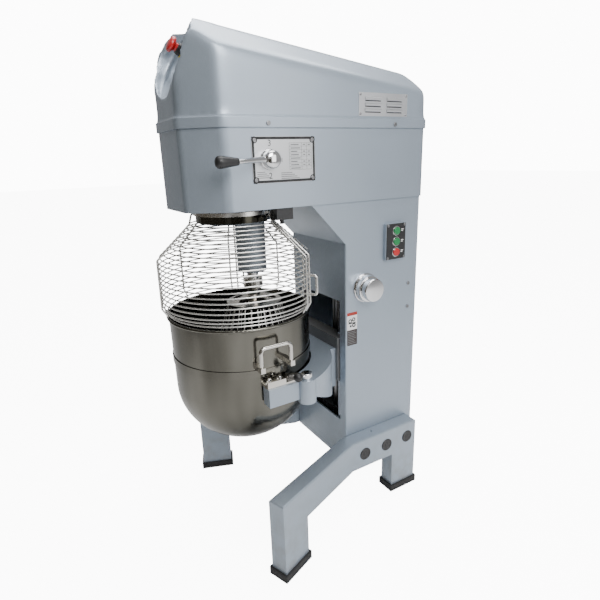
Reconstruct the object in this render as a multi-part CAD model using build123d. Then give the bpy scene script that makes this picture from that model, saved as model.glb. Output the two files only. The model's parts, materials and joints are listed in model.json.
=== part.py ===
"""Floor-standing planetary mixer of 60 litres: cast head on a box column, splayed legs, lifting bowl and wire guard.

Millimetres, +Z up, front towards -Y. The model is laid out round the planetary axis, which is also the axis
of the bowl, and is moved by FRAME_SHIFT on export so that the origin lies on the floor under the middle of
the overall size.
"""

import os
from math import acos, atan2, ceil, cos, degrees, pi, radians, sin, sqrt, tan

from build123d import *

# ---------------------------------------------------------------- driving dimensions
# column
COLUMN_WIDTH = 336.0
COLUMN_DEPTH = 317.0
COLUMN_WALL = 6.0
COLUMN_BOTTOM = 160.0
COLUMN_FRONT = 306.0          # from the planetary axis to the column's front face
GUSSET_REACH = 124.0          # how far the column leans forward under the head
GUSSET_RISE = 131.0
COLUMN_EDGE_RADIUS = 6.0
SLIDE_OPENING = 268.0         # width of the opening in the column's front
SLIDE_OPENING_BOTTOM = 322.0
SLIDE_OPENING_TOP = 774.0
REAR_PANEL_WIDTH = 250.0
REAR_PANEL_HEIGHT = 560.0
REAR_PANEL_BOTTOM = 330.0
PANEL_SHEET = 3.0

# head
HEAD_BOTTOM = 1103.0
HEAD_SIDE_TOP = 1338.0
HEAD_WIDTH = 348.0
HEAD_FRONT = 178.0            # planetary axis to the head's front
HEAD_REAR = 634.0             # planetary axis to the head's rear
HEAD_NOSE_WIDTH = 190.0       # width of the flat front between the slanted corners
HEAD_CORNER_SETBACK = 96.0
HEAD_WALL = 5.0
HEAD_FLOOR = 12.0
HEAD_CORNER_RADIUS = 46.0
HEAD_NOSE_RADIUS = 30.0
HEAD_REAR_RADIUS = 24.0

# hood
HOOD_LIP_BOTTOM = 1320.0
HOOD_LIP_HEIGHT = 27.0
HOOD_LIP = 5.5                # how far the lip stands proud of the head's side
HOOD_FIT = 0.5
HOOD_WALL = 4.0
HOOD_CREASE_HEIGHT = 1512.0   # where the side turns into the shoulder, at HOOD_STATION
HOOD_RIDGE_HEIGHT = 1593.0
HOOD_SHOULDER_HEIGHT = 1581.0
HOOD_SHOULDER_WIDTH = 170.0
HOOD_STATION = -64.0          # distance along the machine where those three heights are taken
HOOD_FALL = 0.125             # fall of the roof per unit of length towards the rear
HOOD_DRAFT = 0.04             # the hood's upright faces lean in by this much per unit of height
HOOD_NOSE_START = 1400.0      # where the vertical front starts to curve back
HOOD_NOSE_RADIUS = 280.0
HOOD_TAIL_RADIUS = 105.0
POCKET_RADIUS = 113.0
POCKET_TILT = 30.0            # the control pocket's floor leans back by this many degrees
POCKET_CENTRE_Y = -116.4
POCKET_CENTRE_Z = 1500.0
ESTOP_BOSS = 20.0
SELECTOR_BOSS = 4.0

# legs
LEG_WIDTH = 57.0
LEG_BEAM_HEIGHT = 112.0
LEG_SPLAY = 21.0              # degrees outwards, in plan
LEG_BEND_Y = 285.0
LEG_FRONT_REACH = 393.0       # along the splayed part
LEG_REAR_END = 592.0
FOOT_LENGTH = 114.0
LEG_WALL = 5.0
LEG_EDGE_RADIUS = 6.0
SHOE_HEIGHT = 25.0
SHOE_SOLE = 8.0
SHOE_RIM = 7.0
SHOE_FIT = 0.3
LEG_BOLT_YS = (350.0, 450.0, 550.0)
LEG_BOLT_Z = 214.0
LEG_BOLT_RADIUS = 8.0
LEG_ACCESS_RADIUS = 21.0
CAP_RADIUS = 23.0
CAP_THICKNESS = 3.0

# bowl
BOWL_RIM_HEIGHT = 775.0
BOWL_RIM_RADIUS = 226.0       # outside of the wall just under the rolled rim
BOWL_BEAD_RADIUS = 5.0
BOWL_LOWER_RADIUS = 224.0
BOWL_BELLY_HEIGHT = 540.0     # where the wall turns into the round bottom
BOWL_BOTTOM_DEPTH = 204.0
BOWL_WALL = 2.5
BOWL_STEPS = 8
BAND_BOTTOM = 627.0
BAND_TOP = 650.0
BAND_THICKNESS = 2.0

# bowl yoke, carriage and lift
YOKE_TOP = 600.0
YOKE_ARM_BOTTOM = 543.0
YOKE_BACK_BOTTOM = 455.0
YOKE_GAP = 4.0                # between the bowl's wall and the yoke
YOKE_ARM_WIDTH = 39.0
YOKE_ARM_FRONT = 40.0         # the arms end this far in front of the axis
YOKE_OUTER_RADIUS = 300.0
YOKE_BOSS_Y = 88.0
YOKE_BOSS_RADIUS = 28.0
YOKE_BOSS_BOTTOM = 530.0
CARRIAGE_TOP = 640.0
CARRIAGE_HEIGHT = 160.0
CARRIAGE_FLANGE_WIDTH = 260.0
CARRIAGE_PROUD = 8.0          # in front of the column's front face
RAIL_SIZE = 20.0
RAIL_CENTRE_X = 121.0
RAIL_SETBACK = 8.0            # column's front face to the rail's front
SLIDE_CLEARANCE = 0.5
SCREW_SETBACK = 81.0          # column's front face to the lead screw's axis
SCREW_RADIUS = 14.0
SCREW_CLEARANCE = 0.3
LIFT_TRAVEL = 150.0

# drive
GEAR_MODULE = 3.0
RING_TEETH = 62
PINION_TEETH = 16
MAIN_TEETH = 64
INPUT_TEETH = 30
DRUM_RADIUS = 114.0
DRUM_WALL = 3.0
DRUM_BOTTOM = 1062.0
CARRIER_RADIUS = 107.0
NECK_RADIUS = 48.0
NECK_BOTTOM = 888.0
AGITATOR_SHAFT_RADIUS = 19.0
AGITATOR_SHAFT_BOTTOM = 848.0
PLANET_ANGLE = 110.0          # where the agitator stands at rest, from +X
GEAR_TOOTH = 3.7              # tooth thickness on the pitch circle, leaving backlash
GEAR_LEVEL = 1140.0
MAIN_SHAFT_RADIUS = 20.0
INPUT_SHAFT_RADIUS = 14.0
MOTOR_SHAFT_RADIUS = 12.0
MOTOR_Y = 470.0
MOTOR_RADIUS = 85.0
MOTOR_PULLEY_RADIUS = 45.0
INPUT_PULLEY_RADIUS = 100.0
BELT_HEIGHT = 1302.0
BELT_WIDTH = 10.0
BELT_THICKNESS = 8.0
BELT_CLEARANCE = 0.4
RUNNING_CLEARANCE = 0.05

# wire whip
WHIP_OUTER_WIRES = 28
WHIP_INNER_WIRES = 16
WHIP_WIRE_RADIUS = 2.2
WHIP_SOCKET_RADIUS = 32.0
WHIP_CROWN_RADIUS = 88.0
WHIP_CROWN_HEIGHT = 782.0
WHIP_BELLY_RADIUS = 134.0
WHIP_BELLY_HEIGHT = 590.0
WHIP_TIP_HEIGHT = 374.0
WHIP_TIP_RADIUS = 24.0

# wire guard
GUARD_WIRE_RADIUS = 2.2
GUARD_RIB_RADIUS = 3.0
GUARD_PITCH = 15.0
GUARD_TOP = (134.0, 1056.0)        # radius and height of the front guard's line of rings
GUARD_SHOULDER = (238.0, 958.0)
GUARD_HEM = (240.0, 812.0)
GUARD_FOOT = (225.0, 787.0)
GUARD_NEST = 6.0                   # the fixed rear guard is this much smaller
GUARD_FRONT_SPAN = (-205.0, 42.0)
GUARD_REAR_SPAN = (43.0, 154.0)
GUARD_ARC = 37.0                   # each ring is made of bent lengths of at most this many degrees
FRONT_RIBS = (-202.5, -197.0, -152.0, -95.0, 34.0, 39.5)
REAR_RIBS = (45.5, 80.0, 117.0, 151.5)

# controls
PLATE_LENGTH = 200.0
PLATE_HEIGHT = 123.0
PLATE_CENTRE = (93.0, 1235.5)      # along the machine, and up
PLATE_THICKNESS = 1.5
SHIFT_AXIS = (45.0, 1237.0)
SHIFT_SHAFT_RADIUS = 8.0
BOX_WIDTH = 88.0
BOX_HEIGHT = 126.0
BOX_DEPTH = 12.0
BOX_CENTRE = (507.0, 960.0)
BUTTON_PITCH = 36.0
BUTTON_RADIUS = 13.0
BUTTON_FIT = 0.4
ESTOP_AT = (60.0, 0.0)             # in the pocket's floor: across, and up the slope
SELECTOR_AT = (90.0, 26.0)
HUB_HEIGHT = 816.0                 # round chromed hub on the column's side, level with the screw
LOUVRE_PLATE = (192.0, 66.0)
LOUVRE_CENTRE = (447.0, 1386.0)

# ---------------------------------------------------------------- worked out from the above
COLUMN_REAR = COLUMN_FRONT + COLUMN_DEPTH
COLUMN_SIDE = COLUMN_WIDTH / 2
HEAD_SIDE = HEAD_WIDTH / 2
HOOD_LIP_TOP = HOOD_LIP_BOTTOM + HOOD_LIP_HEIGHT
LEG_TOP = COLUMN_BOTTOM + LEG_BEAM_HEIGHT
PLANET_OFFSET = GEAR_MODULE * (RING_TEETH - PINION_TEETH) / 2
INPUT_SHAFT_Y = GEAR_MODULE * (MAIN_TEETH + INPUT_TEETH) / 2
PLANET_X = PLANET_OFFSET * cos(radians(PLANET_ANGLE))
PLANET_Y = PLANET_OFFSET * sin(radians(PLANET_ANGLE))
SCREW_Y = COLUMN_FRONT + SCREW_SETBACK
CARRIAGE_FRONT = COLUMN_FRONT - CARRIAGE_PROUD
RAIL_FRONT = COLUMN_FRONT + RAIL_SETBACK
YOKE_INNER_RADIUS = BOWL_RIM_RADIUS + YOKE_GAP
ARM_OUTER_X = YOKE_INNER_RADIUS + YOKE_ARM_WIDTH
BOSS_X = ARM_OUTER_X - 2.0
FRONT_EXTENT = GUARD_HEM[0] + GUARD_WIRE_RADIUS + 2 * GUARD_RIB_RADIUS
REAR_EXTENT = HEAD_REAR + HOOD_LIP
FRAME_SHIFT = Vector(0, (FRONT_EXTENT - REAR_EXTENT) / 2, 0)

parts = {}


def keep(name, *solids):
    """Adds one or more solids to the node of that name."""
    for item in solids:
        parts.setdefault(name, []).extend(item.solids())


def box(x0, x1, y0, y1, z0, z1):
    """A box between two corners."""
    return Pos((x0 + x1) / 2, (y0 + y1) / 2, (z0 + z1) / 2) * Box(x1 - x0, y1 - y0, z1 - z0)


def post(x, y, z0, z1, radius):
    """An upright cylinder."""
    return Pos(x, y, (z0 + z1) / 2) * Cylinder(radius, z1 - z0)


def peg(x0, x1, y, z, radius, tip_radius=None):
    """A cylinder or cone along X from x0 to x1."""
    place = Pos((x0 + x1) / 2, y, z) * Rot(0, 90 if x1 > x0 else -90, 0)
    if tip_radius is None:
        return place * Cylinder(radius, abs(x1 - x0))
    return place * Cone(radius, tip_radius, abs(x1 - x0))


def rod(points, radius, bend):
    """A round bar along points, with its corners bent to that radius."""
    path = FilletPolyline(*points, radius=bend)
    start = Vector(*points[0])
    plane = Plane(origin=start, z_dir=Vector(*points[1]) - start)
    return sweep(plane * Circle(radius), path=path)


def ring(z0, z1, outer, inner, x=0.0, y=0.0):
    """An upright tube."""
    return post(x, y, z0, z1, outer) - post(x, y, z0 - 1, z1 + 1, inner)


def flat(points, z0, z1):
    """A polygon in plan, from z0 to z1."""
    return Pos(0, 0, z0) * extrude(make_face(Polyline(*points, close=True)), z1 - z0)


def side_slab(points, half_width):
    """A polygon of (y, z) points, extruded across the machine."""
    face = make_face(Polyline(*[(0, y, z) for y, z in points], close=True))
    return extrude(face, half_width, dir=(1, 0, 0), both=True)


def both_sides(shape):
    """A shape and its mirror image across the machine's middle plane."""
    return shape, mirror(shape, about=Plane.YZ)


# ---------------------------------------------------------------- column


def column_outline(inset):
    """Side view of the column, shrunk by inset, with its top left open into the head."""
    front, rear = COLUMN_FRONT + inset, COLUMN_REAR - inset
    low = COLUMN_BOTTOM + inset
    top = HEAD_BOTTOM + (20.0 if inset else 0.0)
    lean = GUSSET_REACH / GUSSET_RISE
    slant = inset * (sqrt(1 + lean**2) - lean)
    knee = HEAD_BOTTOM - GUSSET_RISE + slant
    return [(front, low), (front, knee), (front - lean * (top - knee), top), (rear, top), (rear, low)]


def make_column():
    body = side_slab(column_outline(0.0), COLUMN_SIDE)
    body = fillet(body.edges().filter_by(Axis.Z), COLUMN_EDGE_RADIUS)
    body -= side_slab(column_outline(COLUMN_WALL), COLUMN_SIDE - COLUMN_WALL)
    half_open = SLIDE_OPENING / 2
    body -= box(-half_open, half_open, COLUMN_FRONT - 20, COLUMN_FRONT + 20, SLIDE_OPENING_BOTTOM, SLIDE_OPENING_TOP)
    lap = 18.0
    half_panel = REAR_PANEL_WIDTH / 2
    body -= box(
        -half_panel + lap, half_panel - lap, COLUMN_REAR - 20, COLUMN_REAR + 20,
        REAR_PANEL_BOTTOM + lap, REAR_PANEL_BOTTOM + REAR_PANEL_HEIGHT - lap,
    )
    for y in LEG_BOLT_YS:
        for side in (-1, 1):
            body -= peg(side * (COLUMN_SIDE - 20), side * (COLUMN_SIDE + 20), y, LEG_BOLT_Z, LEG_BOLT_RADIUS + 0.5)
    keep("column_body", body)
    panel = box(
        -half_panel, half_panel, COLUMN_REAR, COLUMN_REAR + PANEL_SHEET,
        REAR_PANEL_BOTTOM, REAR_PANEL_BOTTOM + REAR_PANEL_HEIGHT,
    )
    slot_pitch = 16.0
    for i in range(6):
        z = REAR_PANEL_BOTTOM + 60 + i * slot_pitch
        panel -= box(-50, 50, COLUMN_REAR - 5, COLUMN_REAR + 10, z, z + 5)
    keep("rear_cover", panel)


# ---------------------------------------------------------------- legs


def leg_directions():
    """Unit vectors along and across the splayed front part of the right leg."""
    splay = radians(LEG_SPLAY)
    return Vector(sin(splay), -cos(splay), 0), Vector(cos(splay), sin(splay), 0)


def leg_plan(inset, start=0.0):
    """Plan outline of the right leg beam, shrunk by inset all round."""
    along, across = leg_directions()
    bend = Vector(COLUMN_SIDE, LEG_BEND_Y, 0)
    half_turn = tan(radians(LEG_SPLAY) / 2)
    inner_bend = bend + Vector(inset, -inset * half_turn * -1, 0)
    outer_bend = bend + Vector(LEG_WIDTH - inset, (LEG_WIDTH - inset) * half_turn, 0)
    front_inner = bend + along * (LEG_FRONT_REACH - inset) + across * inset
    front_outer = bend + along * (LEG_FRONT_REACH - inset) + across * (LEG_WIDTH - inset)
    rear = LEG_REAR_END - inset
    return [
        (front_inner.X, front_inner.Y), (inner_bend.X, inner_bend.Y), (COLUMN_SIDE + inset, rear),
        (COLUMN_SIDE + LEG_WIDTH - inset, rear), (outer_bend.X, outer_bend.Y), (front_outer.X, front_outer.Y),
    ]


def foot_plan(end, grow):
    """Plan outline of a foot of the right leg, at its front or rear end, grown by grow all round."""
    along, across = leg_directions()
    if end == "rear":
        x0, x1 = COLUMN_SIDE - grow, COLUMN_SIDE + LEG_WIDTH + grow
        y0, y1 = LEG_REAR_END - FOOT_LENGTH - grow, LEG_REAR_END + grow
        return [(x0, y0), (x1, y0), (x1, y1), (x0, y1)]
    bend = Vector(COLUMN_SIDE, LEG_BEND_Y, 0)
    corners = []
    for reach, width in ((1, 0), (1, 1), (0, 1), (0, 0)):
        point = bend + along * (LEG_FRONT_REACH - FOOT_LENGTH * (1 - reach) + grow * (2 * reach - 1))
        point += across * (LEG_WIDTH * width + grow * (2 * width - 1))
        corners.append((point.X, point.Y))
    return corners


def make_legs():
    leg = flat(leg_plan(0.0), COLUMN_BOTTOM, LEG_TOP)
    for end in ("rear", "front"):
        leg += flat(foot_plan(end, 0.0), SHOE_SOLE, COLUMN_BOTTOM + 1)
    top_edges = leg.edges().filter_by(lambda e: e.center().Z > LEG_TOP - 1)
    leg = fillet(top_edges, LEG_EDGE_RADIUS)
    leg -= flat(leg_plan(LEG_WALL), COLUMN_BOTTOM + LEG_WALL, LEG_TOP - LEG_WALL)
    for end in ("rear", "front"):
        leg -= flat(foot_plan(end, -LEG_WALL), SHOE_SOLE - 1, COLUMN_BOTTOM + LEG_WALL + 1)
    for y in LEG_BOLT_YS:
        leg -= peg(COLUMN_SIDE + LEG_WALL + 1, COLUMN_SIDE + LEG_WIDTH + 5, y, LEG_BOLT_Z, LEG_ACCESS_RADIUS)
        leg -= peg(COLUMN_SIDE - 5, COLUMN_SIDE + LEG_WALL + 2, y, LEG_BOLT_Z, LEG_BOLT_RADIUS + 0.5)
    leg -= post(COLUMN_SIDE + LEG_WIDTH * 0.45, 401.0, LEG_TOP - 12, LEG_TOP + 5, 4.0)
    for name, shape in zip(("leg_right", "leg_left"), both_sides(leg)):
        keep(name, shape)

    for end in ("rear", "front"):
        shoe = flat(foot_plan(end, SHOE_RIM), 0.0, SHOE_HEIGHT)
        shoe = fillet(shoe.edges().filter_by(Axis.Z), 3.0)
        shoe -= flat(foot_plan(end, SHOE_FIT), SHOE_SOLE, SHOE_HEIGHT + 1)
        keep("foot_shoes", *both_sides(shoe))

    for y in LEG_BOLT_YS:
        head_x = COLUMN_SIDE + LEG_WALL
        bolt = peg(COLUMN_SIDE - 14, head_x, y, LEG_BOLT_Z, LEG_BOLT_RADIUS)
        hexagon = Pos(head_x + 5, y, LEG_BOLT_Z) * Rot(0, 90, 0) * extrude(RegularPolygon(13, 6), 5, both=True)
        keep("leg_bolts", *both_sides(bolt + hexagon))
        cap_x = COLUMN_SIDE + LEG_WIDTH
        cap = peg(cap_x, cap_x + CAP_THICKNESS, y, LEG_BOLT_Z, CAP_RADIUS)
        cap = fillet(cap.faces().sort_by(Axis.X)[-1].edges(), 1.5)
        cap += peg(cap_x - 9, cap_x + 0.5, y, LEG_BOLT_Z, LEG_ACCESS_RADIUS - 0.4)
        cap -= peg(cap_x - 10, cap_x - 1, y, LEG_BOLT_Z, LEG_ACCESS_RADIUS - 3.4)
        keep("leg_bolt_caps", *both_sides(cap))


# ---------------------------------------------------------------- head and hood


def head_plan(grow, z0, z1):
    """The head's plan with its rounded corners, grown by grow all round, from z0 to z1."""
    nose, side = HEAD_NOSE_WIDTH / 2, HEAD_SIDE
    points = [
        (-nose, -HEAD_FRONT), (nose, -HEAD_FRONT), (side, HEAD_CORNER_SETBACK - HEAD_FRONT), (side, HEAD_REAR),
        (-side, HEAD_REAR), (-side, HEAD_CORNER_SETBACK - HEAD_FRONT),
    ]
    outline = make_face(Polyline(*points, close=True))
    corners = outline.vertices().sort_by(Axis.Y)
    outline = fillet(corners[0:2], HEAD_NOSE_RADIUS)
    outline = fillet(outline.vertices().filter_by(lambda v: abs(abs(v.X) - side) < 0.1 and v.Y < 0), HEAD_CORNER_RADIUS)
    outline = fillet(outline.vertices().filter_by(lambda v: v.Y > HEAD_REAR - 0.1), HEAD_REAR_RADIUS)
    if grow:
        outline = offset(outline, grow, kind=Kind.ARC)
    return Pos(0, 0, z0) * extrude(outline, z1 - z0)


def hood_roof_section(inset):
    """Prism of the hood's cross-section, falling towards the rear, shrunk by inset."""
    side, shoulder = HEAD_SIDE - inset, HOOD_SHOULDER_WIDTH / 2
    low = HOOD_LIP_BOTTOM - 200
    foot = side + HOOD_DRAFT * (HOOD_CREASE_HEIGHT - low)
    points = [
        (-foot, low), (foot, low), (side, HOOD_CREASE_HEIGHT - inset), (shoulder, HOOD_SHOULDER_HEIGHT - inset),
        (0, HOOD_RIDGE_HEIGHT - inset), (-shoulder, HOOD_SHOULDER_HEIGHT - inset), (-side, HOOD_CREASE_HEIGHT - inset),
    ]
    start = -HEAD_FRONT - 40
    lift = (HOOD_STATION - start) * HOOD_FALL
    outline = make_face(Polyline(*[(x, start, z + lift) for x, z in points], close=True))
    tops = outline.vertices().filter_by(lambda v: v.Z > low + lift + 50)
    creases = tops.filter_by(lambda v: abs(v.X) > shoulder + 5)
    outline = fillet(creases, 34)
    outline = fillet(outline.vertices().filter_by(lambda v: abs(abs(v.X) - shoulder) < 0.5), 60)
    outline = fillet(outline.vertices().filter_by(lambda v: abs(v.X) < 0.5), 200)
    length = HEAD_REAR - start + 40
    return extrude(outline, length * sqrt(1 + HOOD_FALL**2), dir=(0, 1, -HOOD_FALL))


def hood_side_section(inset):
    """Slab of the hood's side view: upright front that curves back, falling roof, round tail."""
    front, rear = -HEAD_FRONT + inset, HEAD_REAR - inset
    low = HOOD_LIP_BOTTOM - 60
    radius = HOOD_NOSE_RADIUS - inset
    turn = radians(46)
    arc_end = (front + radius * (1 - cos(turn)), HOOD_NOSE_START + radius * sin(turn))
    roof = HOOD_RIDGE_HEIGHT + 14 - inset
    front_roof = (-60.0, roof - (-60.0 - HOOD_STATION) * HOOD_FALL)
    rear_roof = roof - (rear - HOOD_STATION) * HOOD_FALL
    sin_mid, cos_mid = sin(turn / 2), cos(turn / 2)
    draft = HOOD_DRAFT * (HOOD_NOSE_START - low)
    outline = Polyline(
        (0, *arc_end), (0, *front_roof), (0, rear, rear_roof), (0, rear + draft, low), (0, front - draft, low),
        (0, front, HOOD_NOSE_START),
    )
    nose = ThreePointArc(
        (0, front, HOOD_NOSE_START), (0, front + radius * (1 - cos_mid), HOOD_NOSE_START + radius * sin_mid),
        (0, *arc_end),
    )
    face = make_face(outline.edges() + nose.edges())
    tail = face.vertices().filter_by(lambda v: v.Y > rear - 1 and v.Z > low + 50)
    face = fillet(tail, HOOD_TAIL_RADIUS - inset)
    return extrude(face, HEAD_WIDTH, dir=(1, 0, 0), both=True)


def pocket_place(across=0.0, up=0.0, out=0.0):
    """A place on the control pocket's floor, with Z pointing out of it."""
    tilt = radians(POCKET_TILT)
    y = POCKET_CENTRE_Y + up * sin(tilt) - out * cos(tilt)
    z = POCKET_CENTRE_Z + up * cos(tilt) + out * sin(tilt)
    return Pos(across, y, z) * Rot(90 - POCKET_TILT, 0, 0)


def make_hood():
    body = hood_block()
    hollow = head_plan(-HOOD_WALL, HEAD_SIDE_TOP - 1, HOOD_RIDGE_HEIGHT + 60) & hood_roof_section(HOOD_WALL)
    hollow &= hood_side_section(HOOD_WALL)
    floor_plate = pocket_place(out=-HOOD_WALL / 2) * Cylinder(POCKET_RADIUS + 30, HOOD_WALL)
    floor_plate &= body
    scoop = pocket_place(out=60) * Cylinder(POCKET_RADIUS, 120)
    behind_floor = pocket_place(out=-HOOD_WALL - 200) * Cylinder(400, 400)
    wall_sleeve = pocket_place(out=40) * (Cylinder(POCKET_RADIUS + HOOD_WALL, 88) - Cylinder(POCKET_RADIUS, 90))
    shell = body - hollow
    shell += (wall_sleeve & body)
    shell += floor_plate
    shell -= scoop
    lip = head_plan(HOOD_LIP, HOOD_LIP_BOTTOM, HOOD_LIP_TOP)
    lip = fillet(lip.faces().sort_by(Axis.Z)[-1].edges(), 2.5)
    lip -= head_plan(HOOD_FIT, HOOD_LIP_BOTTOM - 1, HEAD_SIDE_TOP)
    lip -= head_plan(-HOOD_WALL, HOOD_LIP_BOTTOM - 1, HOOD_LIP_TOP + 1)
    shell += lip
    for place in (ESTOP_AT, SELECTOR_AT):
        boss_height = ESTOP_BOSS if place is ESTOP_AT else SELECTOR_BOSS
        boss_radius = 17.0 if place is ESTOP_AT else 16.0
        shell += pocket_place(*place, out=boss_height / 2) * Cylinder(boss_radius, boss_height)
    keep("hood", shell)


def make_head():
    shell = head_plan(0.0, HEAD_BOTTOM, HEAD_SIDE_TOP)
    shell -= head_plan(-HEAD_WALL, HEAD_BOTTOM + HEAD_FLOOR, HEAD_SIDE_TOP + 1)
    shell -= post(0, 0, HEAD_BOTTOM - 1, HEAD_BOTTOM + HEAD_FLOOR + 1, CARRIER_RADIUS + 2)
    shell -= peg(HEAD_SIDE - 20, HEAD_SIDE + 5, *SHIFT_AXIS, SHIFT_SHAFT_RADIUS + 4)
    keep("head_housing", shell)


# ---------------------------------------------------------------- bowl


def bowl_line(inset, top):
    """The bowl's half section from the rim down to the axis, as radius and height, shrunk by inset."""
    low = BOWL_LOWER_RADIUS - inset
    depth = BOWL_BOTTOM_DEPTH - inset
    points = [(BOWL_RIM_RADIUS - inset, top)]
    for i in range(BOWL_STEPS + 1):
        angle = pi / 2 * i / BOWL_STEPS
        points.append((low * cos(angle), BOWL_BELLY_HEIGHT - depth * sin(angle)))
    return points


def bowl_form(inset, top):
    """Solid of revolution inside the bowl's line."""
    (rim, _), *belly = bowl_line(inset, top)
    curve = Spline(*[(r, 0, z) for r, z in belly], tangents=((0, 0, -1), (-1, 0, 0)))
    edges = Polyline(belly[-1][:1] + (0, belly[-1][1]), (0, 0, top), (rim, 0, top), (belly[0][0], 0, belly[0][1]))
    return revolve(make_face(curve.edges() + edges.edges()), Axis.Z)


def make_bowl():
    band_out = BOWL_RIM_RADIUS + BAND_THICKNESS - 0.6
    band = ring(BAND_BOTTOM, BAND_TOP, band_out, BOWL_LOWER_RADIUS - 0.5)
    bead = Pos(0, 0, BOWL_RIM_HEIGHT) * Torus(BOWL_RIM_RADIUS + 2.0, BOWL_BEAD_RADIUS)
    bowl = bowl_form(0.0, BOWL_RIM_HEIGHT) + band + bead
    keep("bowl", bowl - bowl_form(BOWL_WALL, BOWL_RIM_HEIGHT + 20))


# ---------------------------------------------------------------- yoke, carriage and lift


def make_yoke():
    body = ring(YOKE_BACK_BOTTOM, YOKE_TOP, YOKE_OUTER_RADIUS, YOKE_INNER_RADIUS)
    body &= box(-400, 400, YOKE_BOSS_Y, CARRIAGE_FRONT, 0, 2000)
    body += box(YOKE_INNER_RADIUS, ARM_OUTER_X, -YOKE_ARM_FRONT, YOKE_BOSS_Y + 30, YOKE_ARM_BOTTOM, YOKE_TOP)
    body += box(-ARM_OUTER_X, -YOKE_INNER_RADIUS, -YOKE_ARM_FRONT, YOKE_BOSS_Y + 30, YOKE_ARM_BOTTOM, YOKE_TOP)
    back = box(-118, 118, YOKE_INNER_RADIUS - 4, CARRIAGE_FRONT, YOKE_BACK_BOTTOM, YOKE_TOP)
    body += back - post(0, 0, 0, 2000, YOKE_INNER_RADIUS)
    # the skirt gets shallower from the back towards the arms
    under = side_slab(
        [(-60, YOKE_ARM_BOTTOM), (YOKE_BOSS_Y + 20, YOKE_ARM_BOTTOM), (CARRIAGE_FRONT - 40, YOKE_BACK_BOTTOM),
         (CARRIAGE_FRONT + 60, YOKE_BACK_BOTTOM), (CARRIAGE_FRONT + 60, 300), (-60, 300)], 400,
    )
    body -= under
    for side in (-1, 1):
        body += post(side * BOSS_X, YOKE_BOSS_Y, YOKE_BOSS_BOTTOM, YOKE_TOP + 6, YOKE_BOSS_RADIUS)
    body -= post(0, 0, 0, 2000, YOKE_INNER_RADIUS)
    for side in (-1, 1):
        body -= post(side * BOSS_X, YOKE_BOSS_Y, YOKE_TOP - 40, YOKE_TOP + 20, 8.0)
    keep("bowl_yoke", body)


def make_carriage():
    low = CARRIAGE_TOP - CARRIAGE_HEIGHT
    gap = SLIDE_CLEARANCE
    rail_in, rail_out = RAIL_CENTRE_X - RAIL_SIZE / 2, RAIL_CENTRE_X + RAIL_SIZE / 2
    rail_back = RAIL_FRONT + RAIL_SIZE
    half_flange = CARRIAGE_FLANGE_WIDTH / 2
    body = box(-half_flange, half_flange, CARRIAGE_FRONT, RAIL_FRONT - gap, low, CARRIAGE_TOP)
    body += box(-(rail_in - gap), rail_in - gap, RAIL_FRONT - 1, rail_back + 1, low, CARRIAGE_TOP)
    body += box(-half_flange, half_flange, rail_back + gap, rail_back + 14, low, CARRIAGE_TOP)
    body += box(-34, 34, rail_back + 12, SCREW_Y + 26, CARRIAGE_TOP - 90, CARRIAGE_TOP - 50)
    body -= post(0, SCREW_Y, low, CARRIAGE_TOP, SCREW_RADIUS + SCREW_CLEARANCE)
    keep("carriage", body)
    for side in (-1, 1):
        keep("slide_rails", box(
            side * RAIL_CENTRE_X - RAIL_SIZE / 2, side * RAIL_CENTRE_X + RAIL_SIZE / 2, RAIL_FRONT, rail_back,
            SLIDE_OPENING_BOTTOM - 20, SLIDE_OPENING_TOP + 20,
        ) + box(
            min(side * rail_in, side * (COLUMN_SIDE - COLUMN_WALL)), max(side * rail_in, side * (COLUMN_SIDE - COLUMN_WALL)),
            RAIL_FRONT, rail_back, SLIDE_OPENING_BOTTOM - 40, SLIDE_OPENING_BOTTOM - 20,
        ) + box(
            min(side * rail_in, side * (COLUMN_SIDE - COLUMN_WALL)), max(side * rail_in, side * (COLUMN_SIDE - COLUMN_WALL)),
            RAIL_FRONT, rail_back, SLIDE_OPENING_TOP + 20, SLIDE_OPENING_TOP + 40,
        ))


def bevel_gear(teeth, outer_radius, inner_radius, width):
    """A cone with straight grooves cut down its flank; the wide end lies on z = 0."""
    gear = Pos(0, 0, width / 2) * Cone(outer_radius, inner_radius, width)
    slope = degrees(atan2(outer_radius - inner_radius, width))
    groove = Pos(outer_radius, 0, 0) * Rot(0, -slope, 0) * Box(5.0, pi * outer_radius / teeth, 4 * width)
    for i in range(teeth):
        gear -= Rot(0, 0, 360 * i / teeth) * groove
    return gear


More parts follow.
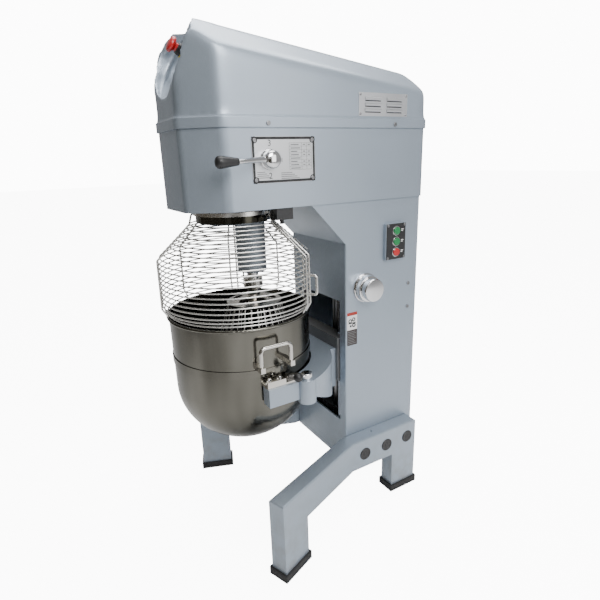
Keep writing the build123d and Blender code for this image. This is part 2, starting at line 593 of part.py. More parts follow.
def make_lift():
    bevel_out, bevel_in, bevel_gap = 26.0, 14.0, 1.2
    screw_top = HUB_HEIGHT - bevel_out - bevel_gap
    inner_side = COLUMN_SIDE - COLUMN_WALL
    for z0 in (SLIDE_OPENING_BOTTOM - 40, screw_top - 20):
        bracket = box(-inner_side, inner_side, SCREW_Y - 24, SCREW_Y + 24, z0, z0 + 14)
        keep("screw_brackets", bracket - post(0, SCREW_Y, z0 - 1, z0 + 15, SCREW_RADIUS + RUNNING_CLEARANCE))
    gear = bevel_gear(20, bevel_out, bevel_in, bevel_out - bevel_in)
    keep("lead_screw", post(0, SCREW_Y, 222, screw_top, SCREW_RADIUS) + Pos(0, SCREW_Y, screw_top) * gear)
    cross = peg(bevel_out + bevel_gap, COLUMN_SIDE + 40, SCREW_Y, HUB_HEIGHT, 9.0)
    cross += Pos(bevel_out + bevel_gap, SCREW_Y, HUB_HEIGHT) * Rot(0, -90, 0) * gear
    keep("lift_cross_shaft", cross)
    hub = peg(COLUMN_SIDE, COLUMN_SIDE + 16, SCREW_Y, HUB_HEIGHT, 50)
    hub = fillet(hub.faces().sort_by(Axis.X)[-1].edges(), 4.0)
    hub += peg(COLUMN_SIDE + 15, COLUMN_SIDE + 34, SCREW_Y, HUB_HEIGHT, 41)
    hub += peg(COLUMN_SIDE + 33, COLUMN_SIDE + 52, SCREW_Y, HUB_HEIGHT, 32)
    hub = fillet(hub.faces().sort_by(Axis.X)[-1].edges(), 2.0)
    hub -= peg(COLUMN_SIDE - 1, COLUMN_SIDE + 42, SCREW_Y, HUB_HEIGHT, 9.0 + RUNNING_CLEARANCE)
    keep("lift_hub", hub)
    parts["column_body"] = [parts["column_body"][0] - peg(COLUMN_SIDE - 20, COLUMN_SIDE + 5, SCREW_Y, HUB_HEIGHT, 14)]


# ---------------------------------------------------------------- drive in the head


def involute(angle):
    return tan(angle) - angle


def gear_outline(teeth, phase, thickness, root, tip):
    """Face of a spur gear with one tooth centred on phase, in degrees."""
    pitch_radius = GEAR_MODULE * teeth / 2
    pressure = radians(20)
    base = pitch_radius * cos(pressure)
    flank = []
    for i in range(6):
        radius = root + (tip - root) * i / 5
        turned = involute(acos(min(1.0, base / radius)))
        half = thickness / (2 * pitch_radius) + involute(pressure) - turned
        flank.append((radius, half))
    points = []
    for i in range(teeth):
        middle = radians(phase) + 2 * pi * i / teeth
        points += [(r * cos(middle - half), r * sin(middle - half)) for r, half in flank]
        points += [(r * cos(middle + half), r * sin(middle + half)) for r, half in reversed(flank)]
    return make_face(Polyline(*points, close=True))


def spur_gear(teeth, x, y, z0, z1, bore, phase):
    radius = GEAR_MODULE * teeth / 2
    outline = gear_outline(teeth, phase, GEAR_TOOTH, radius - 1.25 * GEAR_MODULE, radius + 0.8 * GEAR_MODULE)
    return Pos(x, y, z0) * extrude(outline, z1 - z0) - post(x, y, z0 - 1, z1 + 1, bore)


def make_drive():
    inside_floor = HEAD_BOTTOM + HEAD_FLOOR
    drum = ring(DRUM_BOTTOM, HEAD_BOTTOM, DRUM_RADIUS, DRUM_RADIUS - DRUM_WALL)
    keep("splash_drum", drum)
    gear_low, gear_high = DRUM_BOTTOM + 14, DRUM_BOTTOM + 34
    pitch = GEAR_MODULE * RING_TEETH / 2
    space = pi * GEAR_MODULE - GEAR_TOOTH
    teeth = gear_outline(RING_TEETH, PLANET_ANGLE, space, pitch - 0.8 * GEAR_MODULE, pitch + 1.25 * GEAR_MODULE)
    keep("ring_gear", post(0, 0, gear_low, gear_high, DRUM_RADIUS - DRUM_WALL)
         - Pos(0, 0, gear_low - 1) * extrude(teeth, gear_high - gear_low + 2))

    # planet carrier with its neck, and what turns in it
    carrier_top = DRUM_BOTTOM + 10
    carrier = post(0, 0, DRUM_BOTTOM - 4, carrier_top, CARRIER_RADIUS)
    neck = post(PLANET_X, PLANET_Y, NECK_BOTTOM, DRUM_BOTTOM - 3, NECK_RADIUS)
    neck = fillet(neck.faces().sort_by(Axis.Z)[0].edges(), 4.0)
    carrier += neck
    carrier += post(0, 0, carrier_top - 1, HEAD_BOTTOM - 3, 38.0)
    carrier -= post(PLANET_X, PLANET_Y, NECK_BOTTOM - 1, carrier_top + 1, AGITATOR_SHAFT_RADIUS + RUNNING_CLEARANCE)
    carrier -= post(0, 0, carrier_top, HEAD_BOTTOM, MAIN_SHAFT_RADIUS)
    keep("planet_carrier", carrier)
    keep("main_shaft", post(0, 0, carrier_top, GEAR_LEVEL + 30, MAIN_SHAFT_RADIUS))
    keep("agitator_shaft", post(PLANET_X, PLANET_Y, AGITATOR_SHAFT_BOTTOM, gear_high + 4, AGITATOR_SHAFT_RADIUS - 4)
         + post(PLANET_X, PLANET_Y, AGITATOR_SHAFT_BOTTOM, carrier_top + 2, AGITATOR_SHAFT_RADIUS))
    keep("planet_pinion", spur_gear(PINION_TEETH, PLANET_X, PLANET_Y, gear_low, gear_high,
                                    AGITATOR_SHAFT_RADIUS - 4, PLANET_ANGLE))

    # bearing plate, gears and belt drive
    plate = post(0, 0, inside_floor, inside_floor + 12, 122)
    plate += box(-45, 45, 0, INPUT_SHAFT_Y + 30, inside_floor, inside_floor + 12)
    plate -= post(0, 0, inside_floor - 1, inside_floor + 13, 32)
    plate -= post(0, INPUT_SHAFT_Y, inside_floor - 1, inside_floor + 13, INPUT_SHAFT_RADIUS + RUNNING_CLEARANCE)
    keep("bearing_plate", plate)
    keep("main_bearing", ring(inside_floor - 4, inside_floor + 12, 32, MAIN_SHAFT_RADIUS + RUNNING_CLEARANCE))
    keep("main_gear", spur_gear(MAIN_TEETH, 0, 0, GEAR_LEVEL, GEAR_LEVEL + 24, MAIN_SHAFT_RADIUS, 90.0))
    keep("input_gear", spur_gear(INPUT_TEETH, 0, INPUT_SHAFT_Y, GEAR_LEVEL, GEAR_LEVEL + 24, INPUT_SHAFT_RADIUS,
                                 270.0 + 180.0 / INPUT_TEETH))
    keep("input_shaft", post(0, INPUT_SHAFT_Y, inside_floor + 1, BELT_HEIGHT + 8, INPUT_SHAFT_RADIUS))
    bridge_low = GEAR_LEVEL + 40
    bridge = box(-130, 130, 60, 225, bridge_low, bridge_low + 10)
    bridge -= post(0, INPUT_SHAFT_Y, bridge_low - 1, bridge_low + 11, INPUT_SHAFT_RADIUS + RUNNING_CLEARANCE)
    for x in (-118, 118):
        for y in (78, 208):
            bridge += post(x, y, inside_floor, bridge_low + 1, 9)
    keep("bearing_bridge", bridge)
    low, high = BELT_HEIGHT - BELT_WIDTH / 2, BELT_HEIGHT + BELT_WIDTH / 2
    for name, y, radius, bore in (("input_pulley", INPUT_SHAFT_Y, INPUT_PULLEY_RADIUS, INPUT_SHAFT_RADIUS),
                                  ("motor_pulley", MOTOR_Y, MOTOR_PULLEY_RADIUS, MOTOR_SHAFT_RADIUS)):
        pulley = post(0, y, low - 3, high + 3, radius + 5) - ring(low - 1, high + 1, radius + 20, radius, 0, y)
        if radius > 80:
            for i in range(5):
                hole = Rot(0, 0, 72 * i) * Pos(radius * 0.6, 0, 0) * Cylinder(radius * 0.22, 100)
                pulley -= Pos(0, y, BELT_HEIGHT) * hole
        keep(name, pulley - post(0, y, low - 5, high + 5, bore))
    gap = BELT_CLEARANCE
    keep("drive_belt", belt_loop(gap + BELT_THICKNESS, low, high) - belt_loop(gap, low - 1, high + 1))
    motor = post(0, MOTOR_Y, inside_floor, BELT_HEIGHT - 36, MOTOR_RADIUS)
    for i in range(24):
        fin = Rot(0, 0, 15 * i) * Pos(MOTOR_RADIUS + 2, 0, 0) * Box(16, 4, 90)
        motor += Pos(0, MOTOR_Y, inside_floor + 75) * fin
    motor -= post(0, MOTOR_Y, BELT_HEIGHT - 120, BELT_HEIGHT, MOTOR_SHAFT_RADIUS + RUNNING_CLEARANCE)
    keep("motor", motor)
    rotor = post(0, MOTOR_Y, BELT_HEIGHT - 110, BELT_HEIGHT + 8, MOTOR_SHAFT_RADIUS)
    rotor += parts.pop("motor_pulley")[0]
    keep("motor_rotor", rotor)


def belt_loop(grow, z0, z1):
    """Solid inside the belt's path round both pulleys, grown by grow."""
    big, small = INPUT_PULLEY_RADIUS + grow, MOTOR_PULLEY_RADIUS + grow
    span = MOTOR_Y - INPUT_SHAFT_Y
    lean = acos((big - small) / span)
    points = []
    for i in range(-16, 17):
        angle = -pi / 2 + (pi - lean) * i / 16
        points.append((big * cos(angle), INPUT_SHAFT_Y + big * sin(angle)))
    for i in range(-8, 9):
        angle = pi / 2 + lean * i / 8
        points.append((small * cos(angle), MOTOR_Y + small * sin(angle)))
    return flat(points, z0, z1)


# ---------------------------------------------------------------- wire whip


def make_whip():
    profile = [
        (AGITATOR_SHAFT_RADIUS, NECK_BOTTOM - 24), (WHIP_SOCKET_RADIUS, NECK_BOTTOM - 24),
        (WHIP_SOCKET_RADIUS, NECK_BOTTOM - 56), (22, NECK_BOTTOM - 62), (22, WHIP_CROWN_HEIGHT + 26),
        (WHIP_CROWN_RADIUS + 4, WHIP_CROWN_HEIGHT + 4), (WHIP_CROWN_RADIUS + 4, WHIP_CROWN_HEIGHT - 4),
        (WHIP_CROWN_RADIUS - 6, WHIP_CROWN_HEIGHT - 4), (10, WHIP_CROWN_HEIGHT + 18), (0, WHIP_CROWN_HEIGHT + 18),
        (0, AGITATOR_SHAFT_BOTTOM), (AGITATOR_SHAFT_RADIUS, AGITATOR_SHAFT_BOTTOM),
    ]
    crown = revolve(make_face(Polyline(*[(r, 0, z) for r, z in profile], close=True)), Axis.Z)
    for i in range(6):
        window = Pos(56, 0, WHIP_CROWN_HEIGHT) * Cylinder(17, 60)
        crown -= Rot(0, 0, 60 * i) * window
    plug = Pos(0, 0, WHIP_TIP_HEIGHT) * Cylinder(WHIP_TIP_RADIUS + 3, 7)
    place = Pos(PLANET_X, PLANET_Y, 0)
    keep("whip_crown", place * crown)
    keep("whip_wires", place * plug)
    families = ((WHIP_OUTER_WIRES, WHIP_CROWN_RADIUS - 1, WHIP_BELLY_RADIUS, WHIP_TIP_RADIUS, 0.0),
                (WHIP_INNER_WIRES, WHIP_CROWN_RADIUS - 10, WHIP_BELLY_RADIUS - 24, WHIP_TIP_RADIUS - 8, 3.0))
    for count, top, belly, tip, rise in families:
        start_z = WHIP_CROWN_HEIGHT - 4
        low = WHIP_TIP_HEIGHT + 3.5
        sweep_down = acos(tip / belly)
        knots = [(top, start_z), (top + (belly - top) * 0.42, start_z - 56), (top + (belly - top) * 0.86, start_z - 130)]
        for i in range(7):
            angle = sweep_down * i / 6
            depth = (WHIP_BELLY_HEIGHT - low - rise) / sin(sweep_down)
            knots.append((belly * cos(angle), WHIP_BELLY_HEIGHT - depth * sin(angle)))
        if tip < WHIP_TIP_RADIUS:
            knots[-1] = (tip, low)
        for run in (knots[:4], knots[3:]):
            path = Polyline(*[(r, 0, z) for r, z in run])
            wire = sweep(Plane(origin=path @ 0, z_dir=path % 0) * Circle(WHIP_WIRE_RADIUS), path=path,
                         transition=Transition.RIGHT)
            wire &= box(-200, 200, -50, 50, low, start_z)
            for i in range(count):
                keep("whip_wires", place * Rot(0, 0, 360 * (i + 0.5) / count) * wire)


# ---------------------------------------------------------------- wire guard


def shift_line(points, distance):
    """A polyline in radius and height, moved sideways by distance away from the axis."""
    moved = []
    for i, (r, z) in enumerate(points):
        normals = []
        for a, b in ((i - 1, i), (i, i + 1)):
            if a >= 0 and b < len(points):
                (r0, z0), (r1, z1) = points[a], points[b]
                length = sqrt((r1 - r0) ** 2 + (z1 - z0) ** 2)
                normals.append(((z0 - z1) / length, (r1 - r0) / length))
        nr = sum(n[0] for n in normals)
        nz = sum(n[1] for n in normals)
        scale = distance * len(normals) / (nr**2 + nz**2)
        moved.append((r + nr * scale, z + nz * scale))
    return moved


def ring_places(line):
    """Radius and height of the guard's rings, GUARD_PITCH apart along the line."""
    places, left = [line[0]], GUARD_PITCH
    for (r0, z0), (r1, z1) in zip(line, line[1:]):
        length = sqrt((r1 - r0) ** 2 + (z1 - z0) ** 2)
        while left <= length:
            places.append((r0 + (r1 - r0) * left / length, z0 + (z1 - z0) * left / length))
            left += GUARD_PITCH
        left -= length
    return places


def guard_half(name, line, span, rib_line, rib_angles):
    """One half of the guard: rings in short arcs, and ribs in three lengths that meet at the line's bends."""
    start, end = span
    steps = ceil((end - start) / GUARD_ARC)
    for radius, z in ring_places(line):
        wire = Plane.XZ * Pos(radius, z) * Circle(GUARD_WIRE_RADIUS)
        arc = revolve(wire, Axis.Z, (end - start) / steps)
        for i in range(steps):
            keep(name, Rot(0, 0, start + (end - start) * i / steps) * arc)
    rib = rod([(r, 0, z) for r, z in rib_line], GUARD_RIB_RADIUS, 6.0)
    reach = GUARD_HEM[0] + 10 * GUARD_RIB_RADIUS
    heights = [0.0, line[2][1], line[1][1], HEAD_BOTTOM]
    for low, high in zip(heights, heights[1:]):
        length = rib & box(0, reach, -2 * GUARD_RIB_RADIUS, 2 * GUARD_RIB_RADIUS, low, high)
        for angle in rib_angles:
            keep(name, Rot(0, 0, angle) * length)


def make_guard():
    line = [GUARD_TOP, GUARD_SHOULDER, GUARD_HEM, GUARD_FOOT]
    rear_line = shift_line(line, -GUARD_NEST)
    offset_rib = GUARD_WIRE_RADIUS + GUARD_RIB_RADIUS
    collar_out = DRUM_RADIUS + 7
    collar_low = HEAD_BOTTOM - 20
    arm_z = collar_low + 6
    outer_rib = shift_line(line, offset_rib)
    inner_rib = shift_line(rear_line, -offset_rib)
    guard_half("guard_front", line, GUARD_FRONT_SPAN, [(collar_out, arm_z), (collar_out + 8, arm_z)] + outer_rib, FRONT_RIBS)
    strut = [(DRUM_RADIUS, DRUM_BOTTOM + 13), (DRUM_RADIUS + 7, DRUM_BOTTOM + 13)]
    guard_half("guard_rear", rear_line, GUARD_REAR_SPAN, strut + inner_rib, REAR_RIBS)
    keep("guard_front", ring(collar_low, collar_low + 12, collar_out, DRUM_RADIUS + RUNNING_CLEARANCE))
    wall_r = outer_rib[1][0]
    grip = rod([(wall_r, 0, 905), (wall_r + 34, 0, 905), (wall_r + 34, 0, 845), (wall_r, 0, 845)], 4.0, 9.0)
    grip -= rod([(r, 0, z) for r, z in outer_rib], GUARD_RIB_RADIUS, 6.0)
    grip = grip.solids().sort_by(SortBy.VOLUME)[-1]
    keep("guard_handle", Rot(0, 0, FRONT_RIBS[-2]) * grip)
    switch = box(128, 168, 64, 118, HEAD_BOTTOM - 34, HEAD_BOTTOM)
    keep("guard_switch", switch + post(148, 90, HEAD_BOTTOM - 48, HEAD_BOTTOM - 33, 6))


# ---------------------------------------------------------------- controls and trim


def pan_screw(radius, height):
    """A pan-head screw whose head sits on z = 0, with a cross recess."""
    head = fillet(post(0, 0, 0, height, radius).faces().sort_by(Axis.Z)[-1].edges(), height * 0.5)
    head -= box(-radius * 0.6, radius * 0.6, -0.6, 0.6, height - 1.2, height + 1)
    head -= box(-0.6, 0.6, -radius * 0.6, radius * 0.6, height - 1.2, height + 1)
    return head


def on_side(x, y, z):
    """A place on the machine's right side with Z pointing outwards."""
    return Pos(x, y, z) * Rot(0, 90, 0)


def make_controls():
    py, pz = PLATE_CENTRE
    face = HEAD_SIDE
    plate = box(face, face + PLATE_THICKNESS, py - PLATE_LENGTH / 2, py + PLATE_LENGTH / 2,
                pz - PLATE_HEIGHT / 2, pz + PLATE_HEIGHT / 2)
    plate = fillet(plate.edges().filter_by(Axis.X), 8.0)
    plate -= peg(face - 1, face + 5, *SHIFT_AXIS, SHIFT_SHAFT_RADIUS + RUNNING_CLEARANCE)
    keep("name_plate", plate)
    for dy in (-1, 1):
        for dz in (-1, 1):
            keep("plate_screws", on_side(face + PLATE_THICKNESS, py + dy * (PLATE_LENGTH / 2 - 9),
                                         pz + dz * (PLATE_HEIGHT / 2 - 9)) * pan_screw(5, 2.5))
    sy, sz = SHIFT_AXIS
    hub_in = face + PLATE_THICKNESS + 0.5
    hub = peg(hub_in, hub_in + 26, sy, sz, 27)
    hub = fillet(hub.faces().sort_by(Axis.X)[-1].edges(), 5.0)
    hub += peg(face - 22, hub_in + 1, sy, sz, SHIFT_SHAFT_RADIUS)
    arm_end = (face + 60, sy - 110, sz - 3)
    hub += rod([(hub_in + 16, sy - 12, sz), (hub_in + 16, sy - 40, sz), arm_end, (face + 60, sy - 118, sz - 3.2)], 7.0, 6.0)
    keep("shift_lever", hub)
    knob = Pos(face + 60, sy - 118 - 29, sz - 3.2) * Rot(90, 0, 0) * Cone(11, 17, 58)
    keep("shift_knob", fillet(knob.faces().sort_by(Axis.Y)[0].edges(), 10.0) - hub)

    collar = Cylinder(15, 16) - Cylinder(8 + RUNNING_CLEARANCE, 20)
    keep("estop_collar", pocket_place(*ESTOP_AT, out=ESTOP_BOSS + 8) * collar)
    cap = fillet(Cylinder(20, 14).faces().sort_by(Axis.Z)[-1].edges(), 5.0)
    button = pocket_place(*ESTOP_AT, out=ESTOP_BOSS + 32) * cap
    keep("estop_button", button + pocket_place(*ESTOP_AT, out=ESTOP_BOSS + 18) * Cylinder(8, 20))
    knob = pocket_place(*SELECTOR_AT, out=SELECTOR_BOSS + 12.5) * fillet(
        Cylinder(15, 24).faces().sort_by(Axis.Z)[-1].edges(), 2.0)
    knob += pocket_place(*SELECTOR_AT, out=SELECTOR_BOSS + 26.5) * Box(7, 28, 6)
    knob += pocket_place(*SELECTOR_AT, out=SELECTOR_BOSS - 8) * Cylinder(4, 20)
    keep("selector_knob", knob)
    parts["hood"] = [parts["hood"][0] - pocket_place(*ESTOP_AT, out=ESTOP_BOSS - 4) * Cylinder(9, 60)
                     - pocket_place(*SELECTOR_AT, out=10) * Cylinder(4 + RUNNING_CLEARANCE, 60)]

    by, bz = BOX_CENTRE
    side = COLUMN_SIDE
    case = box(side, side + BOX_DEPTH, by - BOX_WIDTH / 2, by + BOX_WIDTH / 2, bz - BOX_HEIGHT / 2, bz + BOX_HEIGHT / 2)
    case = fillet(case.edges().filter_by(Axis.X), 6.0)
    case -= box(side - 1, side + BOX_DEPTH + 1, by - BOX_WIDTH / 2 + 8, by + BOX_WIDTH / 2 - 8,
                bz - BOX_HEIGHT / 2 + 8, bz + BOX_HEIGHT / 2 - 8)
    keep("control_box", case)
    outer = side + BOX_DEPTH
    panel = box(outer, outer + 2, by - BOX_WIDTH / 2 + 3, by + BOX_WIDTH / 2 - 3,
                bz - BOX_HEIGHT / 2 + 3, bz + BOX_HEIGHT / 2 - 3)
    for i, name in enumerate(("button_up", "button_down", "button_stop")):
        z = bz + BUTTON_PITCH * (1 - i)
        panel -= peg(outer - 1, outer + 3, by, z, BUTTON_RADIUS + BUTTON_FIT)
        button = peg(outer - 6, outer + 8, by, z, BUTTON_RADIUS)
        keep(name, fillet(button.faces().sort_by(Axis.X)[-1].edges(), 2.0))
    keep("control_panel", panel)
    for dy in (-1, 1):
        for dz in (-1, 1):
            keep("plate_screws", on_side(outer + 2, by + dy * (BOX_WIDTH / 2 - 8), bz + dz * (BOX_HEIGHT / 2 - 8))
                 * pan_screw(5, 2.5))

    ly, lz = LOUVRE_CENTRE
    length, height = LOUVRE_PLATE
    louvre = box(face - 8, face + 1.5, ly - length / 2, ly + length / 2, lz - height / 2, lz + height / 2)
    louvre -= hood_block()
    for row in range(3):
        for column in (-1, 1):
            y, z = ly + column * 42, lz + (row - 1) * 16
            louvre += Pos(face + 1.5, y, z) * Rot(90, 0, 0) * (Cylinder(4.5, 62) & Pos(4, 0, 0) * Box(8, 20, 80))
    keep("louvre_plates", *both_sides(louvre))
    for y in (45.0, 491.0):
        screw = on_side(face + HOOD_LIP, y, HOOD_LIP_BOTTOM + 10) * pan_screw(6.5, 3.0)
        keep("cover_screws", *both_sides(screw))
    for y, z in ((582.0, 800.0), (582.0, 713.0)):
        keep("cover_screws", *both_sides(on_side(COLUMN_SIDE, y, z) * pan_screw(6.5, 3.0)))


def hood_block():
    """The hood's outside as a solid, for pieces that lie on it."""
    return head_plan(0.0, HEAD_SIDE_TOP, HOOD_RIDGE_HEIGHT + 60) & hood_roof_section(0.0) & hood_side_section(0.0)


def make_bowl_fittings():
    clear = post(0, 0, 0, 2000, BOWL_LOWER_RADIUS + 1.6)
    for side in (-1, 1):
        ear_out = ARM_OUTER_X - 6
        ear = box(BOWL_LOWER_RADIUS - 6, ear_out, -40, 56, YOKE_TOP, YOKE_TOP + 8)
        ear += box(ear_out - 6, ear_out, -40, 20, YOKE_TOP, YOKE_TOP + 22)
        ear -= clear
        keep("bowl_ears", ear if side > 0 else mirror(ear, about=Plane.YZ))
        lug_x = BOWL_LOWER_RADIUS - 4
        handle = rod([(262, -56, 676), (262, -56, 731), (262, 40, 731), (262, 40, 676)], 6.0, 14.0)
        for y in (-56, 40):
            lug = box(lug_x, 272, y - 7, y + 7, 660, 676)
            lug -= clear
            handle += lug
        keep("bowl_handles", handle if side > 0 else mirror(handle, about=Plane.YZ))
        hub = post(BOSS_X, YOKE_BOSS_Y, YOKE_TOP + 6.5, YOKE_TOP + 24, 17)
        hub = fillet(hub.faces().sort_by(Axis.Z)[-1].edges(), 3.0)
        hub += post(BOSS_X, YOKE_BOSS_Y, YOKE_TOP - 34, YOKE_TOP + 7, 8.0 - RUNNING_CLEARANCE)
        tongue = Pos(BOSS_X, YOKE_BOSS_Y, YOKE_TOP + 13.5) * Rot(0, 0, -127) * Pos(29, 0, 0) * Box(58, 16, 9)
        hub += tongue
        stem = rod([(BOSS_X, YOKE_BOSS_Y, YOKE_TOP + 17), (BOSS_X + 10, YOKE_BOSS_Y - 18, YOKE_TOP + 17),
                    (BOSS_X + 17, YOKE_BOSS_Y - 34, YOKE_TOP + 24)], 4.5, 5.0)
        hub += stem
        ball = Pos(BOSS_X + 20, YOKE_BOSS_Y - 41, YOKE_TOP + 27) * Sphere(14)
        ball -= hub
        name = "right" if side > 0 else "left"
        for node, shape in (("clamp_lever_" + name, hub), ("clamp_knob_" + name, ball)):
            keep(node, shape if side > 0 else mirror(shape, about=Plane.YZ))


for build in (make_column, make_legs, make_head, make_hood, make_bowl, make_yoke, make_carriage, make_lift,
              make_drive, make_whip, make_guard, make_controls, make_bowl_fittings):
    build()

os.makedirs("parts", exist_ok=True)
for name, solids in parts.items():
    moved = [Pos(FRAME_SHIFT) * item for item in solids]
    moved = [solid for item in moved for solid in item.solids()]
    export_step(moved[0] if len(moved) == 1 else Compound(children=moved), f"parts/{name}.step")
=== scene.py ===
import json
from math import atan2, cos, pi, radians, sin

import bmesh
import bpy
from mathutils import Matrix, Vector


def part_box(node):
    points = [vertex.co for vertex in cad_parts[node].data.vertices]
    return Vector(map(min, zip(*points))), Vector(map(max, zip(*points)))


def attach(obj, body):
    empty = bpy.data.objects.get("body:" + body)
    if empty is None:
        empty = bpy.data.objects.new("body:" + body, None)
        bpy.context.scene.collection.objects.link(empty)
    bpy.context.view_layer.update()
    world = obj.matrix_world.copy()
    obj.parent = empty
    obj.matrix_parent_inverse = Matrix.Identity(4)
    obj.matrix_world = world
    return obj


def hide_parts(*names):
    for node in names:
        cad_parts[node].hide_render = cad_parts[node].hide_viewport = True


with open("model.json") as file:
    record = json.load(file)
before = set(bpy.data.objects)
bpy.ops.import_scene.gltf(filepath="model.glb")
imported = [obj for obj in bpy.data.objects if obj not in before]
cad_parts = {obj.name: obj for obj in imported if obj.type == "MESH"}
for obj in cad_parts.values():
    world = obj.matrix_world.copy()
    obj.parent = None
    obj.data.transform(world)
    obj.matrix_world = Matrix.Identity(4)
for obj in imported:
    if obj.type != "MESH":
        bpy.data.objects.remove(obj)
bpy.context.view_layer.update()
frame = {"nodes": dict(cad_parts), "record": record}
nodes = frame["nodes"]


# ---------------------------------------------------------------- finishes

SPLIT_ANGLE = radians(28)      # CAD edges sharper than this stay crisp
WELD_REACH = 0.000002          # closes the seams between CAD triangles, in metres
DUST_TOP, DUST_LOW = 0.32, 0.02     # dust gathers from this height down, in metres


class Value:
    """One output of a shader node; sums written on it add Math nodes."""

    def __init__(self, finish, socket):
        self.finish, self.socket = finish, socket

    def _sum(self, operation, first, second):
        return self.finish.node("ShaderNodeMath", {"operation": operation}, {0: first, 1: second})

    def __add__(self, other): return self._sum("ADD", self, other)
    def __radd__(self, other): return self._sum("ADD", other, self)
    def __mul__(self, other): return self._sum("MULTIPLY", self, other)
    def __rmul__(self, other): return self._sum("MULTIPLY", other, self)


class Finish:
    """A material on the surface shader, with one method that adds any other node."""

    def __init__(self, name, colour, roughness=0.5, metallic=0.0, coat=0.0, coat_roughness=0.1):
        self.material = bpy.data.materials.new(name)
        self.material.use_nodes = True
        self.tree = self.material.node_tree
        self.shader = self.tree.nodes["Principled BSDF"]
        self.set("Base Color", (*colour, 1.0))
        self.set("Roughness", roughness)
        self.set("Metallic", metallic)
        self.set("Coat Weight", coat)
        self.set("Coat Roughness", coat_roughness)

    def node(self, kind, settings, inputs, output=0):
        """Adds a node: its settings first, then the values or links of its sockets."""
        made = self.tree.nodes.new(kind)
        for key, setting in settings.items():
            if key == "stops":
                ramp = made.color_ramp
                while len(ramp.elements) < len(setting):
                    ramp.elements.new(0.5)
                for element, (place, colour) in zip(ramp.elements, setting):
                    element.position, element.color = place, colour
            else:
                setattr(made, key, setting)
        for key, value in inputs.items():
            if isinstance(value, Value):
                self.tree.links.new(value.socket, made.inputs[key])
            else:
                made.inputs[key].default_value = value
        return Value(self, made.outputs[output])

    def set(self, name, value):
        """Gives a socket of the surface shader a value or a link."""
        if isinstance(value, Value):
            self.tree.links.new(value.socket, self.shader.inputs[name])
        else:
            self.shader.inputs[name].default_value = value

    def place(self, stretch=(1, 1, 1)):
        """Where on the piece, in metres, stretched along each axis."""
        where = self.node("ShaderNodeTexCoord", {}, {}, "Object")
        return self.node("ShaderNodeMapping", {}, {"Vector": where, "Scale": stretch})

    def axis(self, letter):
        """How far along one axis, in metres."""
        where = self.node("ShaderNodeTexCoord", {}, {}, "Object")
        return self.node("ShaderNodeSeparateXYZ", {}, {0: where}, letter)

    def noise(self, scale, detail=2.0, stretch=(1, 1, 1)):
        return self.node("ShaderNodeTexNoise", {}, {"Vector": self.place(stretch), "Scale": scale,
                                                    "Detail": detail})

    def ramp(self, value, low, high):
        """Spreads value from 0 at low to 1 at high, and holds it there beyond."""
        return self.node("ShaderNodeMapRange", {}, {0: value, 1: low, 2: high, 3: 0.0, 4: 1.0})

    def mix(self, factor, first, second):
        first, second = [c if isinstance(c, Value) else (*c, 1.0) for c in (first, second)]
        return self.node("ShaderNodeMix", {"data_type": "RGBA"}, {0: factor, 6: first, 7: second}, 2)

    def bump(self, height, strength, distance):
        self.set("Normal", self.node("ShaderNodeBump", {}, {"Height": height, "Strength": strength,
                                                            "Distance": distance}))


def silver_paint():
    """Metallic paint with fine flake, an orange-peel skin and dust towards the floor."""
    f = Finish("silver_paint", (0.42, 0.45, 0.48), 0.4, 0.55, 0.35, 0.18)
    broad, cloud = f.noise(2.2, 3.0), f.noise(14.0, 4.0)
    flake = f.noise(1500.0, 1.0)
    dust = f.ramp(f.axis("Z"), DUST_TOP, DUST_LOW) * f.ramp(f.noise(22.0, 5.0), 0.42, 0.7)
    base = f.mix(f.ramp(broad, 0.3, 0.7), (0.31, 0.365, 0.43), (0.35, 0.408, 0.475))
    base = f.mix(f.ramp(flake, 0.45, 0.75) * 0.3, base, (0.54, 0.61, 0.69))
    base = f.mix(dust * 0.45, base, (0.30, 0.29, 0.27))
    f.set("Base Color", base)
    f.set("Roughness", 0.33 + cloud * 0.1 + f.ramp(flake, 0.4, 0.8) * 0.06 + dust * 0.2)
    f.bump(f.noise(330.0, 2.0) * 0.6 + f.noise(60.0, 2.0) * 0.4, 0.16, 0.0005)
    return f.material


def brushed(name, colour, roughness, stretch, depth=0.12):
    """Metal with a grain that runs along the axis whose stretch is smallest."""
    f = Finish(name, colour, roughness, 1.0)
    grain, broad = f.noise(90.0, 6.0, stretch), f.noise(5.0, 3.0)
    smear = f.noise(26.0, 4.0, (1, 1, 0.4))
    f.set("Base Color", f.mix(f.ramp(broad, 0.3, 0.75), colour, [c * 0.88 for c in colour]))
    f.set("Roughness", roughness + grain * 0.07 + f.ramp(smear, 0.5, 0.8) * 0.07)
    f.bump(grain, depth, 0.0003)
    return f.material


def bright(name, colour, roughness):
    """Plated or drawn metal with faint handling marks."""
    f = Finish(name, colour, roughness, 1.0)
    marks = f.noise(420.0, 3.0)
    f.set("Roughness", roughness + f.ramp(f.noise(40.0, 3.0), 0.45, 0.8) * 0.09)
    f.set("Base Color", f.mix(f.noise(30.0, 2.0), colour, [c * 0.9 for c in colour]))
    f.bump(marks, 0.05, 0.0002)
    return f.material


def moulded(name, colour, roughness, grain_scale=700.0, coat=0.0, worn=(0.1, 0.1, 0.1)):
    """Plastic, rubber or print with a fine grain that turns to its worn colour in places."""
    f = Finish(name, colour, roughness, 0.0, coat, 0.08)
    grain, broad = f.noise(grain_scale, 2.0), f.noise(30.0, 4.0)
    f.set("Base Color", f.mix(f.ramp(broad, 0.5, 0.8) * 0.35, colour, worn))
    f.set("Roughness", roughness + broad * 0.12)
    f.bump(grain, 0.12, 0.0003)
    return f.material


